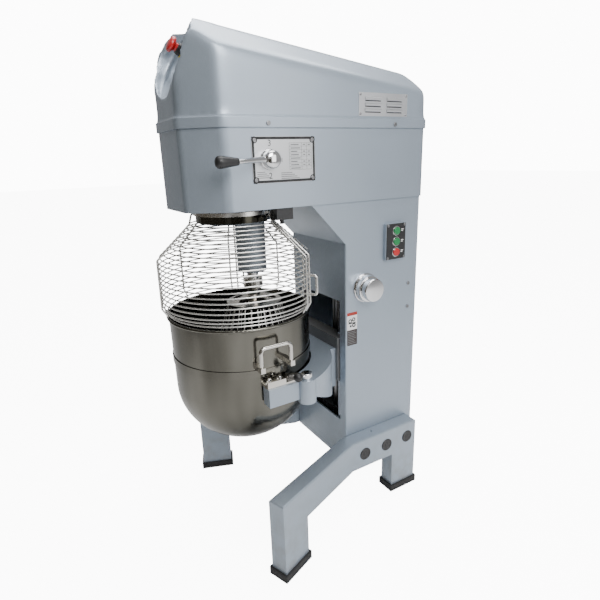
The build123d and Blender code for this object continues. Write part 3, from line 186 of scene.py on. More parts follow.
def cast(name, colour, roughness):
    """Cast metal, pitted and uneven in tone."""
    f = Finish(name, colour, roughness, 0.6)
    pits = f.noise(180.0, 5.0)
    f.set("Base Color", f.mix(f.noise(8.0, 4.0), colour, [c * 0.7 for c in colour]))
    f.set("Roughness", roughness + pits * 0.15)
    f.bump(pits, 0.4, 0.0008)
    return f.material


finishes = {
    "silver_paint": silver_paint(),
    "black_plastic": moulded("black_plastic", (0.012, 0.012, 0.013), 0.38, 900.0, 0.1,
                             (0.035, 0.035, 0.035)),
    "black_rubber": moulded("black_rubber", (0.014, 0.014, 0.015), 0.62, 300.0, 0.0,
                            (0.06, 0.055, 0.05)),
    "stainless": brushed("stainless", (0.66, 0.635, 0.595), 0.13, (0.4, 0.4, 9.0), 0.05),
    "chrome": bright("chrome", (0.82, 0.82, 0.83), 0.06),
    "wire_steel": bright("wire_steel", (0.84, 0.83, 0.8), 0.27),
    "dark_steel": brushed("dark_steel", (0.3, 0.3, 0.31), 0.32, (1, 1, 1)),
    "cast_grey": cast("cast_grey", (0.22, 0.225, 0.23), 0.5),
    "motor_paint": moulded("motor_paint", (0.02, 0.05, 0.12), 0.4, 500.0, 0.1, (0.05, 0.08, 0.13)),
    "belt_rubber": moulded("belt_rubber", (0.02, 0.02, 0.02), 0.7),
    "red_plastic": moulded("red_plastic", (0.5, 0.012, 0.015), 0.25, 800.0, 0.4,
                           (0.35, 0.02, 0.02)),
    "green_plastic": moulded("green_plastic", (0.006, 0.2, 0.055), 0.25, 800.0, 0.4,
                             (0.01, 0.14, 0.04)),
    "plate_print": brushed("plate_print", (0.62, 0.63, 0.645), 0.36, (1, 8, 1)),
}


def steel_painted_reflection():
    """Drawn steel with upright polishing marks and a painted reflection: its colour is darker and
    browner, in upright streaks, as if it mirrored a dim room.
    """
    f = Finish("steel_painted_reflection", (0.36, 0.345, 0.305), 0.15, 1.0)
    marks, broad = f.noise(60.0, 5.0, (1, 1, 0.05)), f.noise(3.5, 3.0, (1, 1, 0.25))
    smear = f.noise(18.0, 4.0, (1, 1, 0.3))
    # painted reflection: broad upright streaks between near-black and brown-grey stand for a dim room
    # mirrored in the steel
    f.set("Base Color", f.mix(f.ramp(broad, 0.5, 0.72), (0.062, 0.059, 0.047),
                              (0.24, 0.232, 0.205)))
    f.set("Roughness", 0.11 + marks * 0.1 + f.ramp(smear, 0.5, 0.8) * 0.1)
    f.bump(marks, 0.06, 0.0003)
    return f.material


finishes.update({
    "steel_painted_reflection": steel_painted_reflection(),
    "neck_paint": cast("neck_paint", (0.30, 0.335, 0.375), 0.36),
    "louvre_metal": brushed("louvre_metal", (0.66, 0.67, 0.69), 0.36, (1, 1, 1)),
    "print_black": moulded("print_black", (0.01, 0.01, 0.011), 0.5),
    "print_grey": moulded("print_grey", (0.16, 0.165, 0.17), 0.55),
    "print_white": moulded("print_white", (0.8, 0.8, 0.8), 0.45, worn=(0.5, 0.5, 0.48)),
    "print_red": moulded("print_red", (0.33, 0.03, 0.02), 0.45, worn=(0.26, 0.04, 0.03)),
    "print_brown": moulded("print_brown", (0.04, 0.03, 0.028), 0.5),
    "yellow_plastic": moulded("yellow_plastic", (0.62, 0.5, 0.04), 0.4, worn=(0.5, 0.42, 0.05)),
})
own_finish = {"bowl": "steel_painted_reflection", "splash_drum": "steel_painted_reflection", "planet_carrier": "neck_paint",
              "louvre_plates": "louvre_metal"}

slots = {part["node"]: part["material_slot"] for part in frame["record"]["subparts"]}
for name, thing in nodes.items():
    thing.data.materials.clear()
    thing.data.materials.append(finishes[own_finish.get(name, slots[name])])
    for polygon in thing.data.polygons:
        polygon.use_smooth = True
    weld = thing.modifiers.new("weld", "WELD")
    weld.merge_threshold = WELD_REACH
    split = thing.modifiers.new("split", "EDGE_SPLIT")
    split.split_angle = SPLIT_ANGLE


# ---------------------------------------------------------------- making pieces

bowl_low, bowl_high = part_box("bowl")
AXIS_Y = (bowl_low.y + bowl_high.y) / 2      # the bowl's axis; lengths along the machine start here


def at(x, y, z):
    """A point from millimetres across, along from the bowl's axis, and up."""
    return Vector((x / 1000, AXIS_Y + y / 1000, z / 1000))


def finish_piece(name, shape, finish, body, stands_for=(), sharp=35, whole=True):
    """Turns a bmesh into a piece that rides on a body."""
    if whole:
        bmesh.ops.remove_doubles(shape, verts=shape.verts, dist=1e-6)
        bmesh.ops.recalc_face_normals(shape, faces=shape.faces)
    mesh = bpy.data.meshes.new(name)
    shape.to_mesh(mesh)
    shape.free()
    for polygon in mesh.polygons:
        polygon.use_smooth = True
    mesh.set_sharp_from_angle(angle=radians(sharp))
    thing = bpy.data.objects.new(name, mesh)
    bpy.context.scene.collection.objects.link(thing)
    mesh.materials.append(finishes[finish])
    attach(thing, body)
    if stands_for:
        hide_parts(*stands_for)


def spin(shape, profile, place, steps=48):
    """Adds a solid of revolution round the Z axis of place; profile holds radius, height in mm."""
    before = set(shape.verts)
    closed = profile[0] == profile[-1]
    verts = [shape.verts.new((r / 1000, 0, z / 1000)) for r, z in (profile[:-1] if closed else profile)]
    edges = [shape.edges.new(pair) for pair in zip(verts, verts[1:] + (verts[:1] if closed else []))]
    bmesh.ops.spin(shape, geom=verts + edges, cent=(0, 0, 0), axis=(0, 0, 1), angle=2 * pi,
                   steps=steps, use_merge=True)
    for v in shape.verts:
        if v not in before:
            v.co = place @ v.co


def smooth(points, steps):
    """Points of a Catmull-Rom curve through the given ones."""
    ends = [2 * points[0] - points[1], *points, 2 * points[-1] - points[-2]]
    line = []
    for a, b, c, d in zip(ends, ends[1:], ends[2:], ends[3:]):
        for i in range(steps):
            t = i / steps
            line.append(0.5 * (2 * b + (c - a) * t + (2 * a - 5 * b + 4 * c - d) * t**2
                               + (3 * b - a - 3 * c + d) * t**3))
    return line + [points[-1]]


def bar(shape, line, sides=12):
    """Adds a round bar along points whose fourth number is the radius, all in metres."""
    centres = [p.to_3d() for p in line]
    along = [(b - a).normalized() for a, b in zip(centres[:1] + centres, centres[1:] + centres[-1:])]
    along[0] = (centres[1] - centres[0]).normalized()
    along[-1] = (centres[-1] - centres[-2]).normalized()
    normal = along[0].orthogonal().normalized()
    rings = []
    for centre, ahead, point in zip(centres, along, line):
        normal = (normal - ahead * normal.dot(ahead)).normalized()
        side = ahead.cross(normal)
        turns = [2 * pi * k / sides for k in range(sides)]
        rings.append([shape.verts.new(centre + point.w * (cos(turn) * normal + sin(turn) * side))
                      for turn in turns])
    for ring, after in zip(rings, rings[1:]):
        for k in range(sides):
            shape.faces.new((ring[k], ring[(k + 1) % sides], after[(k + 1) % sides], after[k]))
    shape.faces.new(rings[0][::-1])
    shape.faces.new(rings[-1])


def block(shape, low, high):
    """Adds a box between two corners."""
    size = [b - a for a, b in zip(low, high)]
    middle = Vector([(a + b) / 2 for a, b in zip(low, high)])
    bmesh.ops.create_cube(shape, size=1.0,
                          matrix=Matrix.Translation(middle) @ Matrix.Diagonal((*size, 1)))


def facing(place, direction):
    """A matrix at place whose Z axis points along direction."""
    return Matrix.Translation(place) @ Vector(direction).to_track_quat("Z", "Y").to_matrix().to_4x4()


def add_spun(name, profile, place, finish, body, stands_for=(), steps=48):
    """Makes a piece of one solid of revolution."""
    shape = bmesh.new()
    spin(shape, profile, place, steps)
    finish_piece(name, shape, finish, body, stands_for)


# ---------------------------------------------------------------- shift lever and its plate

PLATE = 175.5         # face of the plates on the head's sides, in millimetres from the middle
SHIFT_Y, SHIFT_Z = 45.0, 1237.0      # where the lever turns
BORDER = 7.0          # width of the plate's printed border
EYELET_INSET = 9.0    # from the plate's edges to its eyelets
TABLE_LEFT, TABLE_RIGHT, TABLE_BOTTOM, TABLE_ROW = 108.0, 180.0, 1207.0, 9.0
TABLE_ROWS = 8


def thin(shape, face, y0, y1, z0, z1, proud=0.25):
    """Adds a printed patch on a face that looks towards +X."""
    block(shape, at(face - 0.1, y0, z0), at(face + proud, y1, z1))


def words(name, text, size, y, z, face, finish):
    """Raised lettering on a face that looks towards +X; size is its height in millimetres."""
    letters = bpy.data.curves.new(name, "FONT")
    letters.body, letters.size, letters.extrude = text, size / 700, 0.0001
    letters.align_x, letters.align_y = "CENTER", "CENTER"
    drawn = bpy.data.objects.new(name, letters)
    mesh = bpy.data.meshes.new_from_object(drawn)
    bpy.data.objects.remove(drawn)
    stand = Matrix(((0, 0, 1), (1, 0, 0), (0, 1, 0))).to_4x4()
    mesh.transform(Matrix.Translation(at(face + 0.1, y, z)) @ stand)
    thing = bpy.data.objects.new(name, mesh)
    bpy.context.scene.collection.objects.link(thing)
    mesh.materials.clear()
    mesh.materials.append(finishes[finish])
    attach(thing, "base")


def make_plate_print():
    """A black border with eyelets, a table of plain bars and the lever's three numbers."""
    low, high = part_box("name_plate")
    y0, y1 = (low.y - AXIS_Y) * 1000, (high.y - AXIS_Y) * 1000
    z0, z1 = low.z * 1000, high.z * 1000
    border = bmesh.new()
    for patch in ((y0 + 1, y1 - 1, z1 - BORDER - 1, z1 - 1),
                  (y0 + 1, y1 - 1, z0 + 1, z0 + BORDER + 1),
                  (y0 + 1, y0 + BORDER + 1, z0 + BORDER, z1 - BORDER),
                  (y1 - BORDER - 1, y1 - 1, z0 + BORDER, z1 - BORDER)):
        thin(border, PLATE, *patch)
    for y in (y0 + EYELET_INSET, y1 - EYELET_INSET):
        for z in (z0 + EYELET_INSET, z1 - EYELET_INSET):
            spin(border, [(6.0, -0.1), (9.0, -0.1), (9.0, 0.3), (6.0, 0.3), (6.0, -0.1)],
                 facing(at(PLATE, y, z), (1, 0, 0)), 32)
    finish_piece("plate_border", border, "print_black", "base", whole=False)
    table = bmesh.new()
    for i in range(TABLE_ROWS + 1):
        line = TABLE_BOTTOM + i * TABLE_ROW
        thin(table, PLATE, TABLE_LEFT, TABLE_RIGHT, line, line + 0.8)
    for y in (TABLE_LEFT, TABLE_LEFT + 40, TABLE_LEFT + 56, TABLE_RIGHT):
        thin(table, PLATE, y, y + 0.8, TABLE_BOTTOM, TABLE_BOTTOM + TABLE_ROWS * TABLE_ROW)
    for i in range(TABLE_ROWS):
        low_edge, high_edge = [TABLE_BOTTOM + i * TABLE_ROW + rise for rise in (3.2, 6.0)]
        thin(table, PLATE, TABLE_LEFT + 5, TABLE_LEFT + 36 - 5 * (i % 3), low_edge, high_edge)
        if i % 3:
            thin(table, PLATE, TABLE_LEFT + 45, TABLE_LEFT + 52, low_edge, high_edge)
            thin(table, PLATE, TABLE_LEFT + 61, TABLE_LEFT + 68, low_edge, high_edge)
    for i in range(4):
        thin(table, PLATE, 6.0, 48.0 - 6 * i, 1188.0 + i * 5, 1190.0 + i * 5)
        thin(table, PLATE, 80.0, 140.0 - 8 * i, 1184.0 + i * 5, 1186.0 + i * 5)
    finish_piece("plate_table", table, "print_grey", "base", whole=False)
    words("plate_three", "3", 16, SHIFT_Y + 2, 1279.0, PLATE, "print_black")
    words("plate_one", "1", 11, 84.0, SHIFT_Z - 3, PLATE, "print_black")
    words("plate_two", "2", 16, SHIFT_Y + 2, 1193.0, PLATE, "print_black")


def make_shift():
    """The lever: a domed hub with a pin behind, a bent arm that thins, and its black grip."""
    pivot = at(PLATE, SHIFT_Y, SHIFT_Z)
    hub = bmesh.new()
    spin(hub, [(0, -0.2), (27, -0.2), (27.5, 2), (26, 4), (24.5, 5), (24.5, 20), (23, 25), (18, 29),
               (10, 31), (0, 31.5)], facing(pivot, (1, 0, 0)), 64)
    spin(hub, [(0, 8), (5, 8), (5, 38), (4, 40), (0, 40)],
         facing(pivot, (0, 1, 0.12)) @ Matrix.Translation((0, 0, -0.006)), 24)
    path = [(190, 38, 1237, 9.0), (196, 14, 1237, 8.2), (212, -20, 1236, 7.2),
            (229, -54, 1234.4, 6.4), (234, -70, 1233.8, 6.2), (234, -80, 1233.8, 6.2)]
    bar(hub, smooth([Vector((*at(x, y, z), r / 1000)) for x, y, z, r in path], 6), 20)
    finish_piece("shift_arm", hub, "chrome", "shift", ("shift_lever",))
    add_spun("shift_grip", [(0, 0), (8.6, 0), (9.6, 1.5), (10.4, 8), (13, 26), (15.4, 42), (16, 50),
                            (14.6, 56), (10.5, 60), (5, 61.6), (0, 62)],
             facing(at(234, -72.5, 1233.8), (0, -1, 0)), "black_plastic", "shift",
             ("shift_knob",), 40)


# ---------------------------------------------------------------- emergency stop and selector

TILT = radians(30)                                     # lean of the control pocket's floor
POCKET_OUT = Vector((0, -cos(TILT), sin(TILT)))        # its way out
POCKET_Y, POCKET_Z = -116.4, 1500.0                    # where across 0 and up 0 lie on it
STOP_SPOT, SELECTOR_SPOT = (60, 0), (90, 26)           # across and up, in millimetres


def pocket(across, up, out):
    """A point over the control pocket's sloping floor."""
    base = at(across, POCKET_Y + up * sin(TILT), POCKET_Z + up * cos(TILT))
    return base + POCKET_OUT * out / 1000


def make_stop():
    """The stop's mushroom head, ring and collar, and the bright ring round the selector."""
    place = facing(pocket(*STOP_SPOT, 0), POCKET_OUT)
    add_spun("stop_head", [(0, 30), (11, 30), (11, 40), (13.5, 43), (18.5, 45.5), (20.2, 48),
                           (20.2, 51.5), (18, 55.5), (11, 58.4), (0, 59)],
             place, "red_plastic", "estop", ("estop_button",), 64)
    add_spun("stop_ring", [(9, 19.9), (17.5, 19.9), (17.5, 22), (16.5, 22.6), (9, 22.6), (9, 19.9)],
             place, "yellow_plastic", "base")
    add_spun("stop_collar", [(9, 22.6), (15, 22.6), (15, 31), (14, 32), (14, 35.6), (9, 35.6),
                             (9, 22.6)],
             place, "black_plastic", "base", ("estop_collar",))
    add_spun("selector_ring", [(15.3, -0.2), (18.5, -0.2), (18.5, 2.4), (17, 4), (15.3, 4),
                               (15.3, -0.2)],
             facing(pocket(*SELECTOR_SPOT, 4), POCKET_OUT), "chrome", "base")


# ---------------------------------------------------------------- column side: hub, buttons, label

COLUMN = 168.0                       # the column's side
HUB_Y, HUB_Z, HUB_STEPS = 387, 816, 144
KNURL_LOW, KNURL_HIGH, KNURL_DEPTH = 0.0445, 0.0455, 0.016     # radii in metres, share of radius
PANEL, BUTTON_Y = 182, 507           # face of the control panel, middle of its buttons
BUTTON_HEIGHTS = (996.0, 960.0, 924.0)
LABEL_LEFT, LABEL_RIGHT = 312, 354


def make_side():
    """The knurled hub, the rings and marks of the push buttons, and the banded label."""
    middle = at(COLUMN, HUB_Y, HUB_Z)
    hub = bmesh.new()
    spin(hub, [(0, 0), (50, 0), (50, 3), (48.5, 5.5), (46, 6.5), (45, 9), (45, 24), (43.5, 26.5),
               (40, 27.5), (37, 28), (37, 30), (38.5, 32), (38.5, 49), (37, 51.5), (34.5, 52),
               (0, 52)], facing(middle, (1, 0, 0)), HUB_STEPS)
    for v in hub.verts:
        away = v.co - middle
        radius = (away.y**2 + away.z**2) ** 0.5
        if KNURL_LOW < radius < KNURL_HIGH:
            turn = round(atan2(away.z, away.y) / (2 * pi) * HUB_STEPS)
            grow = 1 - KNURL_DEPTH * (turn % 2)
            v.co = Vector((v.co.x, middle.y + away.y * grow, middle.z + away.z * grow))
    finish_piece("hub_cap", hub, "chrome", "base", ("lift_hub",), 25)
    bezels, ticks = bmesh.new(), bmesh.new()
    for z in BUTTON_HEIGHTS:
        spin(bezels, [(13.6, -0.1), (16.2, -0.1), (16.2, 1.2), (15.4, 2), (13.6, 2), (13.6, -0.1)],
             facing(at(PANEL, BUTTON_Y, z), (1, 0, 0)), 48)
        thin(ticks, PANEL, BUTTON_Y + 22, BUTTON_Y + 32, z + 2, z + 4.5)
        thin(ticks, PANEL, BUTTON_Y + 22, BUTTON_Y + 29, z - 3, z - 0.5)
    finish_piece("button_bezels", bezels, "chrome", "base")
    finish_piece("button_legends", ticks, "print_white", "base", whole=False)
    for name, finish, z0, z1 in (("label_red", "print_red", 727, 738),
                                 ("label_white", "print_white", 676, 727),
                                 ("label_dark", "print_brown", 620, 676)):
        patch = bmesh.new()
        thin(patch, COLUMN, LABEL_LEFT, LABEL_RIGHT, z0, z1, 0.3)
        finish_piece(name, patch, finish, "base", whole=False)
    sign = bmesh.new()
    for y, z, r0, r1 in ((325, 708, 4, 7.5), (339, 712, 3.5, 7), (340, 692, 3.5, 7.5),
                         (327, 690, 0.5, 4)):
        spin(sign, [(r0, -0.1), (r1, -0.1), (r1, 0.3), (r0, 0.3), (r0, -0.1)],
             facing(at(COLUMN + 0.3, y, z), (1, 0, 0)), 28)
    block(sign, at(COLUMN + 0.2, 318, 698), at(COLUMN + 0.6, 348, 702))
    finish_piece("label_sign", sign, "print_black", "base")
    lines = bmesh.new()
    for i in range(8):
        thin(lines, COLUMN + 0.3, LABEL_LEFT + 4, LABEL_RIGHT - 4 - 4 * (i % 3), 626 + 6 * i,
             628 + 6 * i, 0.2)
    finish_piece("label_lines", lines, "print_grey", "base", whole=False)


# ---------------------------------------------------------------- bolts, louvres and leg caps

EAR_OUT, EAR_TOP = 246, 608          # middle and top of the bowl's ears
EAR_BOLTS = (-26.0, 8.0)
LOUVRE_COLUMNS, LOUVRE_ROWS = (405.0, 489.0), (1370.0, 1386.0, 1402.0)
SCREW_COLUMNS, SCREW_ROWS = (357.0, 537.0), (1359.0, 1413.0)
CAP_OUT, CAP_HEIGHT = 225, 214       # the leg caps' face and height
CAP_PLACES = (350.0, 450.0, 550.0)


def hexagon(shape, place, flat, low, high, soft=0.8):
    """Adds a hexagonal nut or head: flat is the width across its flats in millimetres."""
    reach = flat / 2000 / cos(pi / 6)
    made = bmesh.ops.create_cone(shape, cap_ends=True, segments=6, radius1=reach, radius2=reach,
                                 depth=(high - low) / 1000,
                                 matrix=place @ Matrix.Translation((0, 0, (low + high) / 2000)))
    edges = list({e for v in made["verts"] for e in v.link_edges})
    bmesh.ops.bevel(shape, geom=edges, offset=soft / 1000, offset_type="OFFSET", segments=2,
                    profile=0.5, affect="EDGES", material=-1, clamp_overlap=True)


def make_clamps():
    """Two bolts with washer, head and stud on each of the bowl's ears."""
    for side, word in ((1, "right"), (-1, "left")):
        parts = bmesh.new()
        for y in EAR_BOLTS:
            place = Matrix.Translation(at(side * EAR_OUT, y, EAR_TOP))
            spin(parts, [(0, -0.1), (13, -0.1), (13, 1.6), (12.4, 2.2), (0, 2.2)], place, 32)
            hexagon(parts, place @ Matrix.Rotation(0.3 * side, 4, "Z"), 17, 2.2, 11)
            spin(parts, [(0, 10.8), (5, 10.8), (5, 17), (4.2, 18), (0, 18)], place, 20)
        finish_piece("ear_bolts_" + word, parts, "chrome", "lift", sharp=30)


def make_louvres():
    """Painted shadows: dark strips under the louvres for the shade in their slots, and a screw in each
    corner of their plates.
    """
    painted_slot_shadows, screws = bmesh.new(), bmesh.new()
    for side in (1, -1):
        face = PLATE * side
        for y in LOUVRE_COLUMNS:
            for z in LOUVRE_ROWS:
                # painted shadow: a thin dark strip on the plate under each louvre stands for the shade
                # in its slot
                block(painted_slot_shadows, at(face - 0.4, y - 30, z - 7.2), at(face + 0.4, y + 30, z - 4.7))
        for y in SCREW_COLUMNS:
            for z in SCREW_ROWS:
                spin(screws, [(0, -0.2), (3.6, -0.2), (3.6, 0.9), (2.4, 1.8), (0, 2.1)],
                     facing(at(face, y, z), (side, 0, 0)), 20)
    # the strips are painted shadow, in the black of the print
    finish_piece("louvre_painted_slot_shadows", painted_slot_shadows, "print_black", "base", whole=False)
    finish_piece("louvre_screws", screws, "dark_steel", "base")


def make_leg_caps():
    """Round caps with a dished face over the leg bolts."""
    caps = bmesh.new()
    for side in (1, -1):
        for y in CAP_PLACES:
            spin(caps, [(0, -6), (20.6, -6), (20.6, 0), (23, 0), (23, 1.8), (21.8, 3), (17.5, 3),
                        (16.4, 1.9), (8, 1.9), (7, 3), (0, 3)],
                 facing(at(side * CAP_OUT, y, CAP_HEIGHT), (side, 0, 0)), 40)
    finish_piece("leg_caps", caps, "black_plastic", "base", ("leg_bolt_caps",))


# ---------------------------------------------------------------- hood

LIP = 0.027                          # height of the hood's lip, in metres
LIP_LAP, SKIN_LAP = 0.001, 0.008     # how far the lip and the skin run past its top
STOP_BORE, SELECTOR_BORE = 0.0096, 0.0046
SKIN_CELL = 0.004                    # cell of the even skin
CORE_START, CORE_SCALE = 0.045, 0.99
CORNER_PLUGS = ((108, -116, 1553), (112, -122, 1545), (101, -108, 1562))
PLUG_RADIUS = 0.011
RIM_REACH, RIM_BACK = 0.128, 0.13    # inside these the pocket's rim is only lightly relaxed
BODY_ROUNDS, RIM_ROUNDS = 46, 5


def make_hood():
    """The hood: its lip stays crisp, its upper part is rebuilt as an even skin and relaxed."""
    low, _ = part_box("hood")
    lip_top = low.z + LIP
    band, skin = bmesh.new(), bmesh.new()
    for shape, height, above in ((band, lip_top + LIP_LAP, True), (skin, lip_top - SKIN_LAP, False)):
        shape.from_mesh(nodes["hood"].data)
        bmesh.ops.remove_doubles(shape, verts=shape.verts, dist=WELD_REACH)
        bmesh.ops.bisect_plane(shape, geom=shape.verts[:] + shape.edges[:] + shape.faces[:],
                               dist=1e-6, plane_co=(0, 0, height), plane_no=(0, 0, 1),
                               clear_outer=above, clear_inner=not above)
    bmesh.ops.holes_fill(band, edges=[e for e in band.edges if e.is_boundary], sides=0)
    finish_piece("hood_lip", band, "silver_paint", "base")
    # the bores' walls go, so that the faces reached from the top are the outside alone
    bores = ((pocket(*STOP_SPOT, 0), STOP_BORE), (pocket(*SELECTOR_SPOT, 0), SELECTOR_BORE))
    inside = [f for f in skin.faces for point, radius in bores
              if (f.calc_center_median() - point).cross(POCKET_OUT).length < radius
              and abs(f.normal.dot(POCKET_OUT)) < 0.3]
    bmesh.ops.delete(skin, geom=list(set(inside)), context="FACES_ONLY")
    outer, edge = set(), [max(skin.faces, key=lambda f: f.calc_center_median().z)]
    while edge:
        face = edge.pop()
        if face not in outer:
            outer.add(face)
            edge.extend(near for e in face.edges for near in e.link_faces)
    bmesh.ops.delete(skin, geom=[f for f in skin.faces if f not in outer], context="FACES")
    bmesh.ops.holes_fill(skin, edges=[e for e in skin.edges if e.is_boundary], sides=0)
    bmesh.ops.recalc_face_normals(skin, faces=skin.faces)
    # a filled core behind the pocket and plugs at its upper corners keep the cells shut
    core = bmesh.new()
    behind = [v.co for v in skin.verts
              if v.co.y > AXIS_Y - CORE_START and v.co.z > lip_top + 0.0005]
    heart = Vector([(min(c[i] for c in behind) + max(c[i] for c in behind)) / 2 for i in range(3)])
    for co in behind:
        core.verts.new(heart + (co - heart) * CORE_SCALE)
    hull = bmesh.ops.convex_hull(core, input=core.verts)
    spare = [g for g in hull["geom_interior"] if isinstance(g, bmesh.types.BMVert)]
    bmesh.ops.delete(core, geom=spare, context="VERTS")
    rough = bpy.data.meshes.new("hood_rough")
    core.to_mesh(rough)
    core.free()
    skin.from_mesh(rough)
    for side in (1, -1):
        for x, y, z in CORNER_PLUGS:
            bmesh.ops.create_icosphere(skin, subdivisions=3, radius=PLUG_RADIUS,
                                       matrix=Matrix.Translation(at(side * x, y, z)))
    skin.to_mesh(rough)
    skin.free()
    solid = bpy.data.objects.new("hood_rough", rough)
    bpy.context.scene.collection.objects.link(solid)
    remesh = solid.modifiers.new("even", "REMESH")
    remesh.mode, remesh.voxel_size = "VOXEL", SKIN_CELL
    drawn = solid.evaluated_get(bpy.context.evaluated_depsgraph_get())
    even = bpy.data.meshes.new_from_object(drawn)
    bpy.data.objects.remove(solid)
    skin = bmesh.new()
    skin.from_mesh(even)
    middle = pocket(0, 0, 0)
    upper = [v for v in skin.verts if v.co.z > lip_top + 0.004]
    away = [v for v in upper if (v.co - middle).cross(POCKET_OUT).length > RIM_REACH
            or v.co.y > middle.y + RIM_BACK]
    for verts, rounds in ((away, BODY_ROUNDS), (upper, RIM_ROUNDS)):
        for _ in range(rounds):
            bmesh.ops.smooth_vert(skin, verts=verts, factor=0.5, use_axis_x=True, use_axis_y=True,
                                  use_axis_z=True)
    finish_piece("hood_skin", skin, "silver_paint", "base", ("hood",), 60)


# ---------------------------------------------------------------- wire whip

# how many loops; radius at the crown, at the belly and at the tip, and rise of the tip, in mm
LOOPS = ((28, 87.0, 134.0, 24.0, 0.0), (16, 78.0, 110.0, 16.0, 3.0))
WIRE_RADIUS = 0.0022                 # in metres
BELLY_Z = 578                        # where the loops start to turn in


def make_whip():
    """Loops of wire that fan out of the crown and close on a round button at the bottom."""
    low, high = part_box("whip_wires")
    middle_x, middle_y = (low.x + high.x) / 2, (low.y + high.y) / 2
    top, bottom = high.z * 1000, low.z * 1000
    wires = bmesh.new()
    for count, crown, belly, tip, rise in LOOPS:
        tip_z = bottom + 3.5 + rise
        knots = [(crown, top + 5), (crown + (belly - crown) * 0.3, top - 40),
                 (crown + (belly - crown) * 0.78, top - 105), (belly * 0.99, top - 160),
                 (belly, top - 200)]
        for i in range(1, 7):
            turn = (pi / 2 - 0.12) * i / 6
            knots.append((tip + (belly - tip) * cos(turn), BELLY_Z - (BELLY_Z - tip_z) * sin(turn)))
        for i in range(count):
            angle = 2 * pi * (i + 0.5) / count
            points = [Vector((middle_x + r * cos(angle) / 1000, middle_y + r * sin(angle) / 1000,
                              z / 1000, WIRE_RADIUS)) for r, z in knots]
            bar(wires, smooth(points, 3), 7)
    spin(wires, [(0, -4), (22, -4), (26, -1), (27, 3), (24, 6), (14, 8), (0, 8.5)],
         Matrix.Translation((middle_x, middle_y, low.z + 0.004)), 36)
    finish_piece("whip_loops", wires, "wire_steel", "agitator", ("whip_wires",))


make_plate_print()
make_shift()
make_stop()
make_side()
make_clamps()
make_louvres()
make_leg_caps()
make_hood()
make_whip()


# ---------------------------------------------------------------- floor, light and camera

WORLD_LIGHT = 0.38      # what the room lights with
WORLD_SEEN = 12.0       # what the camera sees behind the machine
FLOOR_SEEN = 10.0       # what the camera sees of the floor
FLOOR_SIZE, FLOOR_DROP = 60.0, -0.0005
LIGHTS = (  # power, width, height, place and target
    ("key", 120, 2.0, 1.6, (3.0, -0.2, 3.0), (0, 0.1, 1.2)),
    ("top", 130, 2.6, 2.6, (-0.4, 0.4, 3.8), (0, 0, 1.0)),
    ("side", 26, 1.4, 2.2, (3.6, 1.4, 1.6), (0, 0.1, 0.9)),
)
EYE = (1.35115, -0.76068, 1.23472)
AZIMUTH, PITCH, ROLL = radians(59.51), radians(16.87), radians(-1.87)
SENSOR, FOCAL = 36.0, 36.0 * 463.59 / 600.0      # in millimetres
FARTHEST = 60.0


def stage_sheet(name, width, depth, place, finish):
    """A flat rectangle of the stage, which isn't part of the machine."""
    shape = bmesh.new()
    bmesh.ops.create_grid(shape, x_segments=1, y_segments=1, size=0.5,
                          matrix=place @ Matrix.Diagonal((width, depth, 1, 1)))
    mesh = bpy.data.meshes.new(name)
    shape.to_mesh(mesh)
    shape.free()
    sheet = bpy.data.objects.new(name, mesh)
    bpy.context.scene.collection.objects.link(sheet)
    mesh.materials.append(finish)
    return sheet


def soft_light(name, power, width, height, place, target):
    """A white rectangular light that looks from place towards target."""
    data = bpy.data.lights.new(name, "AREA")
    data.shape, data.size, data.size_y = "RECTANGLE", width, height
    data.energy = power
    lamp = bpy.data.objects.new(name, data)
    lamp.location = place
    lamp.rotation_euler = (Vector(target) - Vector(place)).to_track_quat("-Z", "Y").to_euler()
    bpy.context.scene.collection.objects.link(lamp)


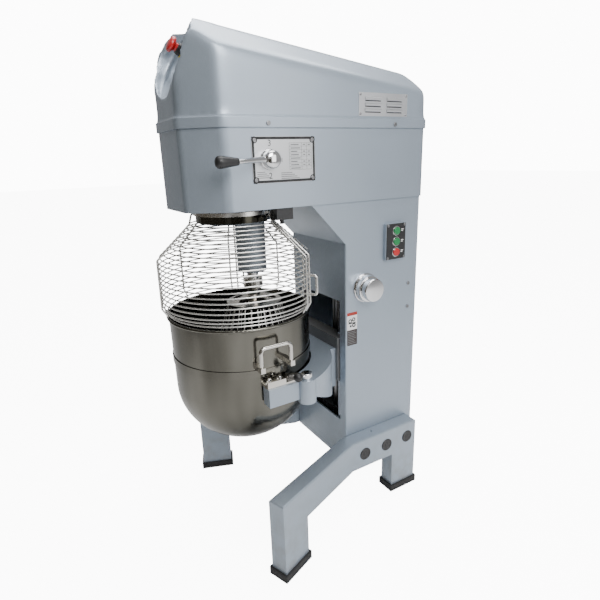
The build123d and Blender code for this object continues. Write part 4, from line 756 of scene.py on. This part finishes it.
def make_stage():
    """A pale floor, two dark screens that only show in reflections, the room and its lights."""
    floor = Finish("pale_floor", (0.88, 0.88, 0.88), 0.75)
    floor.set("Roughness", 0.7 + floor.noise(4.0, 3.0) * 0.1)
    seen = floor.node("ShaderNodeLightPath", {}, {}, "Is Camera Ray")
    floor.set("Emission Color", (1.0, 1.0, 1.0, 1.0))
    floor.set("Emission Strength", seen * FLOOR_SEEN)
    stage_sheet("floor", FLOOR_SIZE, FLOOR_SIZE, Matrix.Translation((0, 0, FLOOR_DROP)),
                floor.material)
    dark = Finish("dark_screen", (0.06, 0.052, 0.04), 0.9)
    upright = Matrix.Rotation(pi / 2, 4, "X")
    turned = Matrix.Rotation(pi / 2, 4, "Z") @ upright
    for name, width, height, place, stand in (("front", 6.0, 3.4, (-0.6, -2.4, 1.4), upright),
                                              ("side", 2.2, 1.7, (3.0, -0.9, 0.55), turned)):
        screen = stage_sheet("dark_screen_" + name, width, height,
                             Matrix.Translation(place) @ stand, dark.material)
        screen.visible_camera = False
    world = bpy.data.worlds.new("studio")
    world.use_nodes = True
    tree = world.node_tree
    background = tree.nodes["Background"]
    background.inputs["Color"].default_value = (1.0, 1.0, 1.0, 1.0)
    path = tree.nodes.new("ShaderNodeLightPath")
    strength = tree.nodes.new("ShaderNodeMapRange")
    for socket, value in ((3, WORLD_LIGHT), (4, WORLD_SEEN)):
        strength.inputs[socket].default_value = value
    tree.links.new(path.outputs["Is Camera Ray"], strength.inputs[0])
    tree.links.new(strength.outputs[0], background.inputs["Strength"])
    bpy.context.scene.world = world
    for light in LIGHTS:
        soft_light(*light)


def make_camera():
    """The camera, turned by its azimuth, its pitch below level and its roll."""
    ahead = Vector((-sin(AZIMUTH) * cos(PITCH), cos(AZIMUTH) * cos(PITCH), -sin(PITCH)))
    across = Vector((cos(AZIMUTH), sin(AZIMUTH), 0))
    up = across.cross(ahead)
    right = cos(ROLL) * across + sin(ROLL) * up
    top = -sin(ROLL) * across + cos(ROLL) * up
    data = bpy.data.cameras.new("camera")
    data.sensor_width, data.lens, data.clip_end = SENSOR, FOCAL, FARTHEST
    camera = bpy.data.objects.new("camera", data)
    turn = Matrix((right, top, -ahead)).transposed().to_4x4()
    camera.matrix_world = Matrix.Translation(EYE) @ turn
    bpy.context.scene.collection.objects.link(camera)
    bpy.context.scene.camera = camera


make_stage()
make_camera()
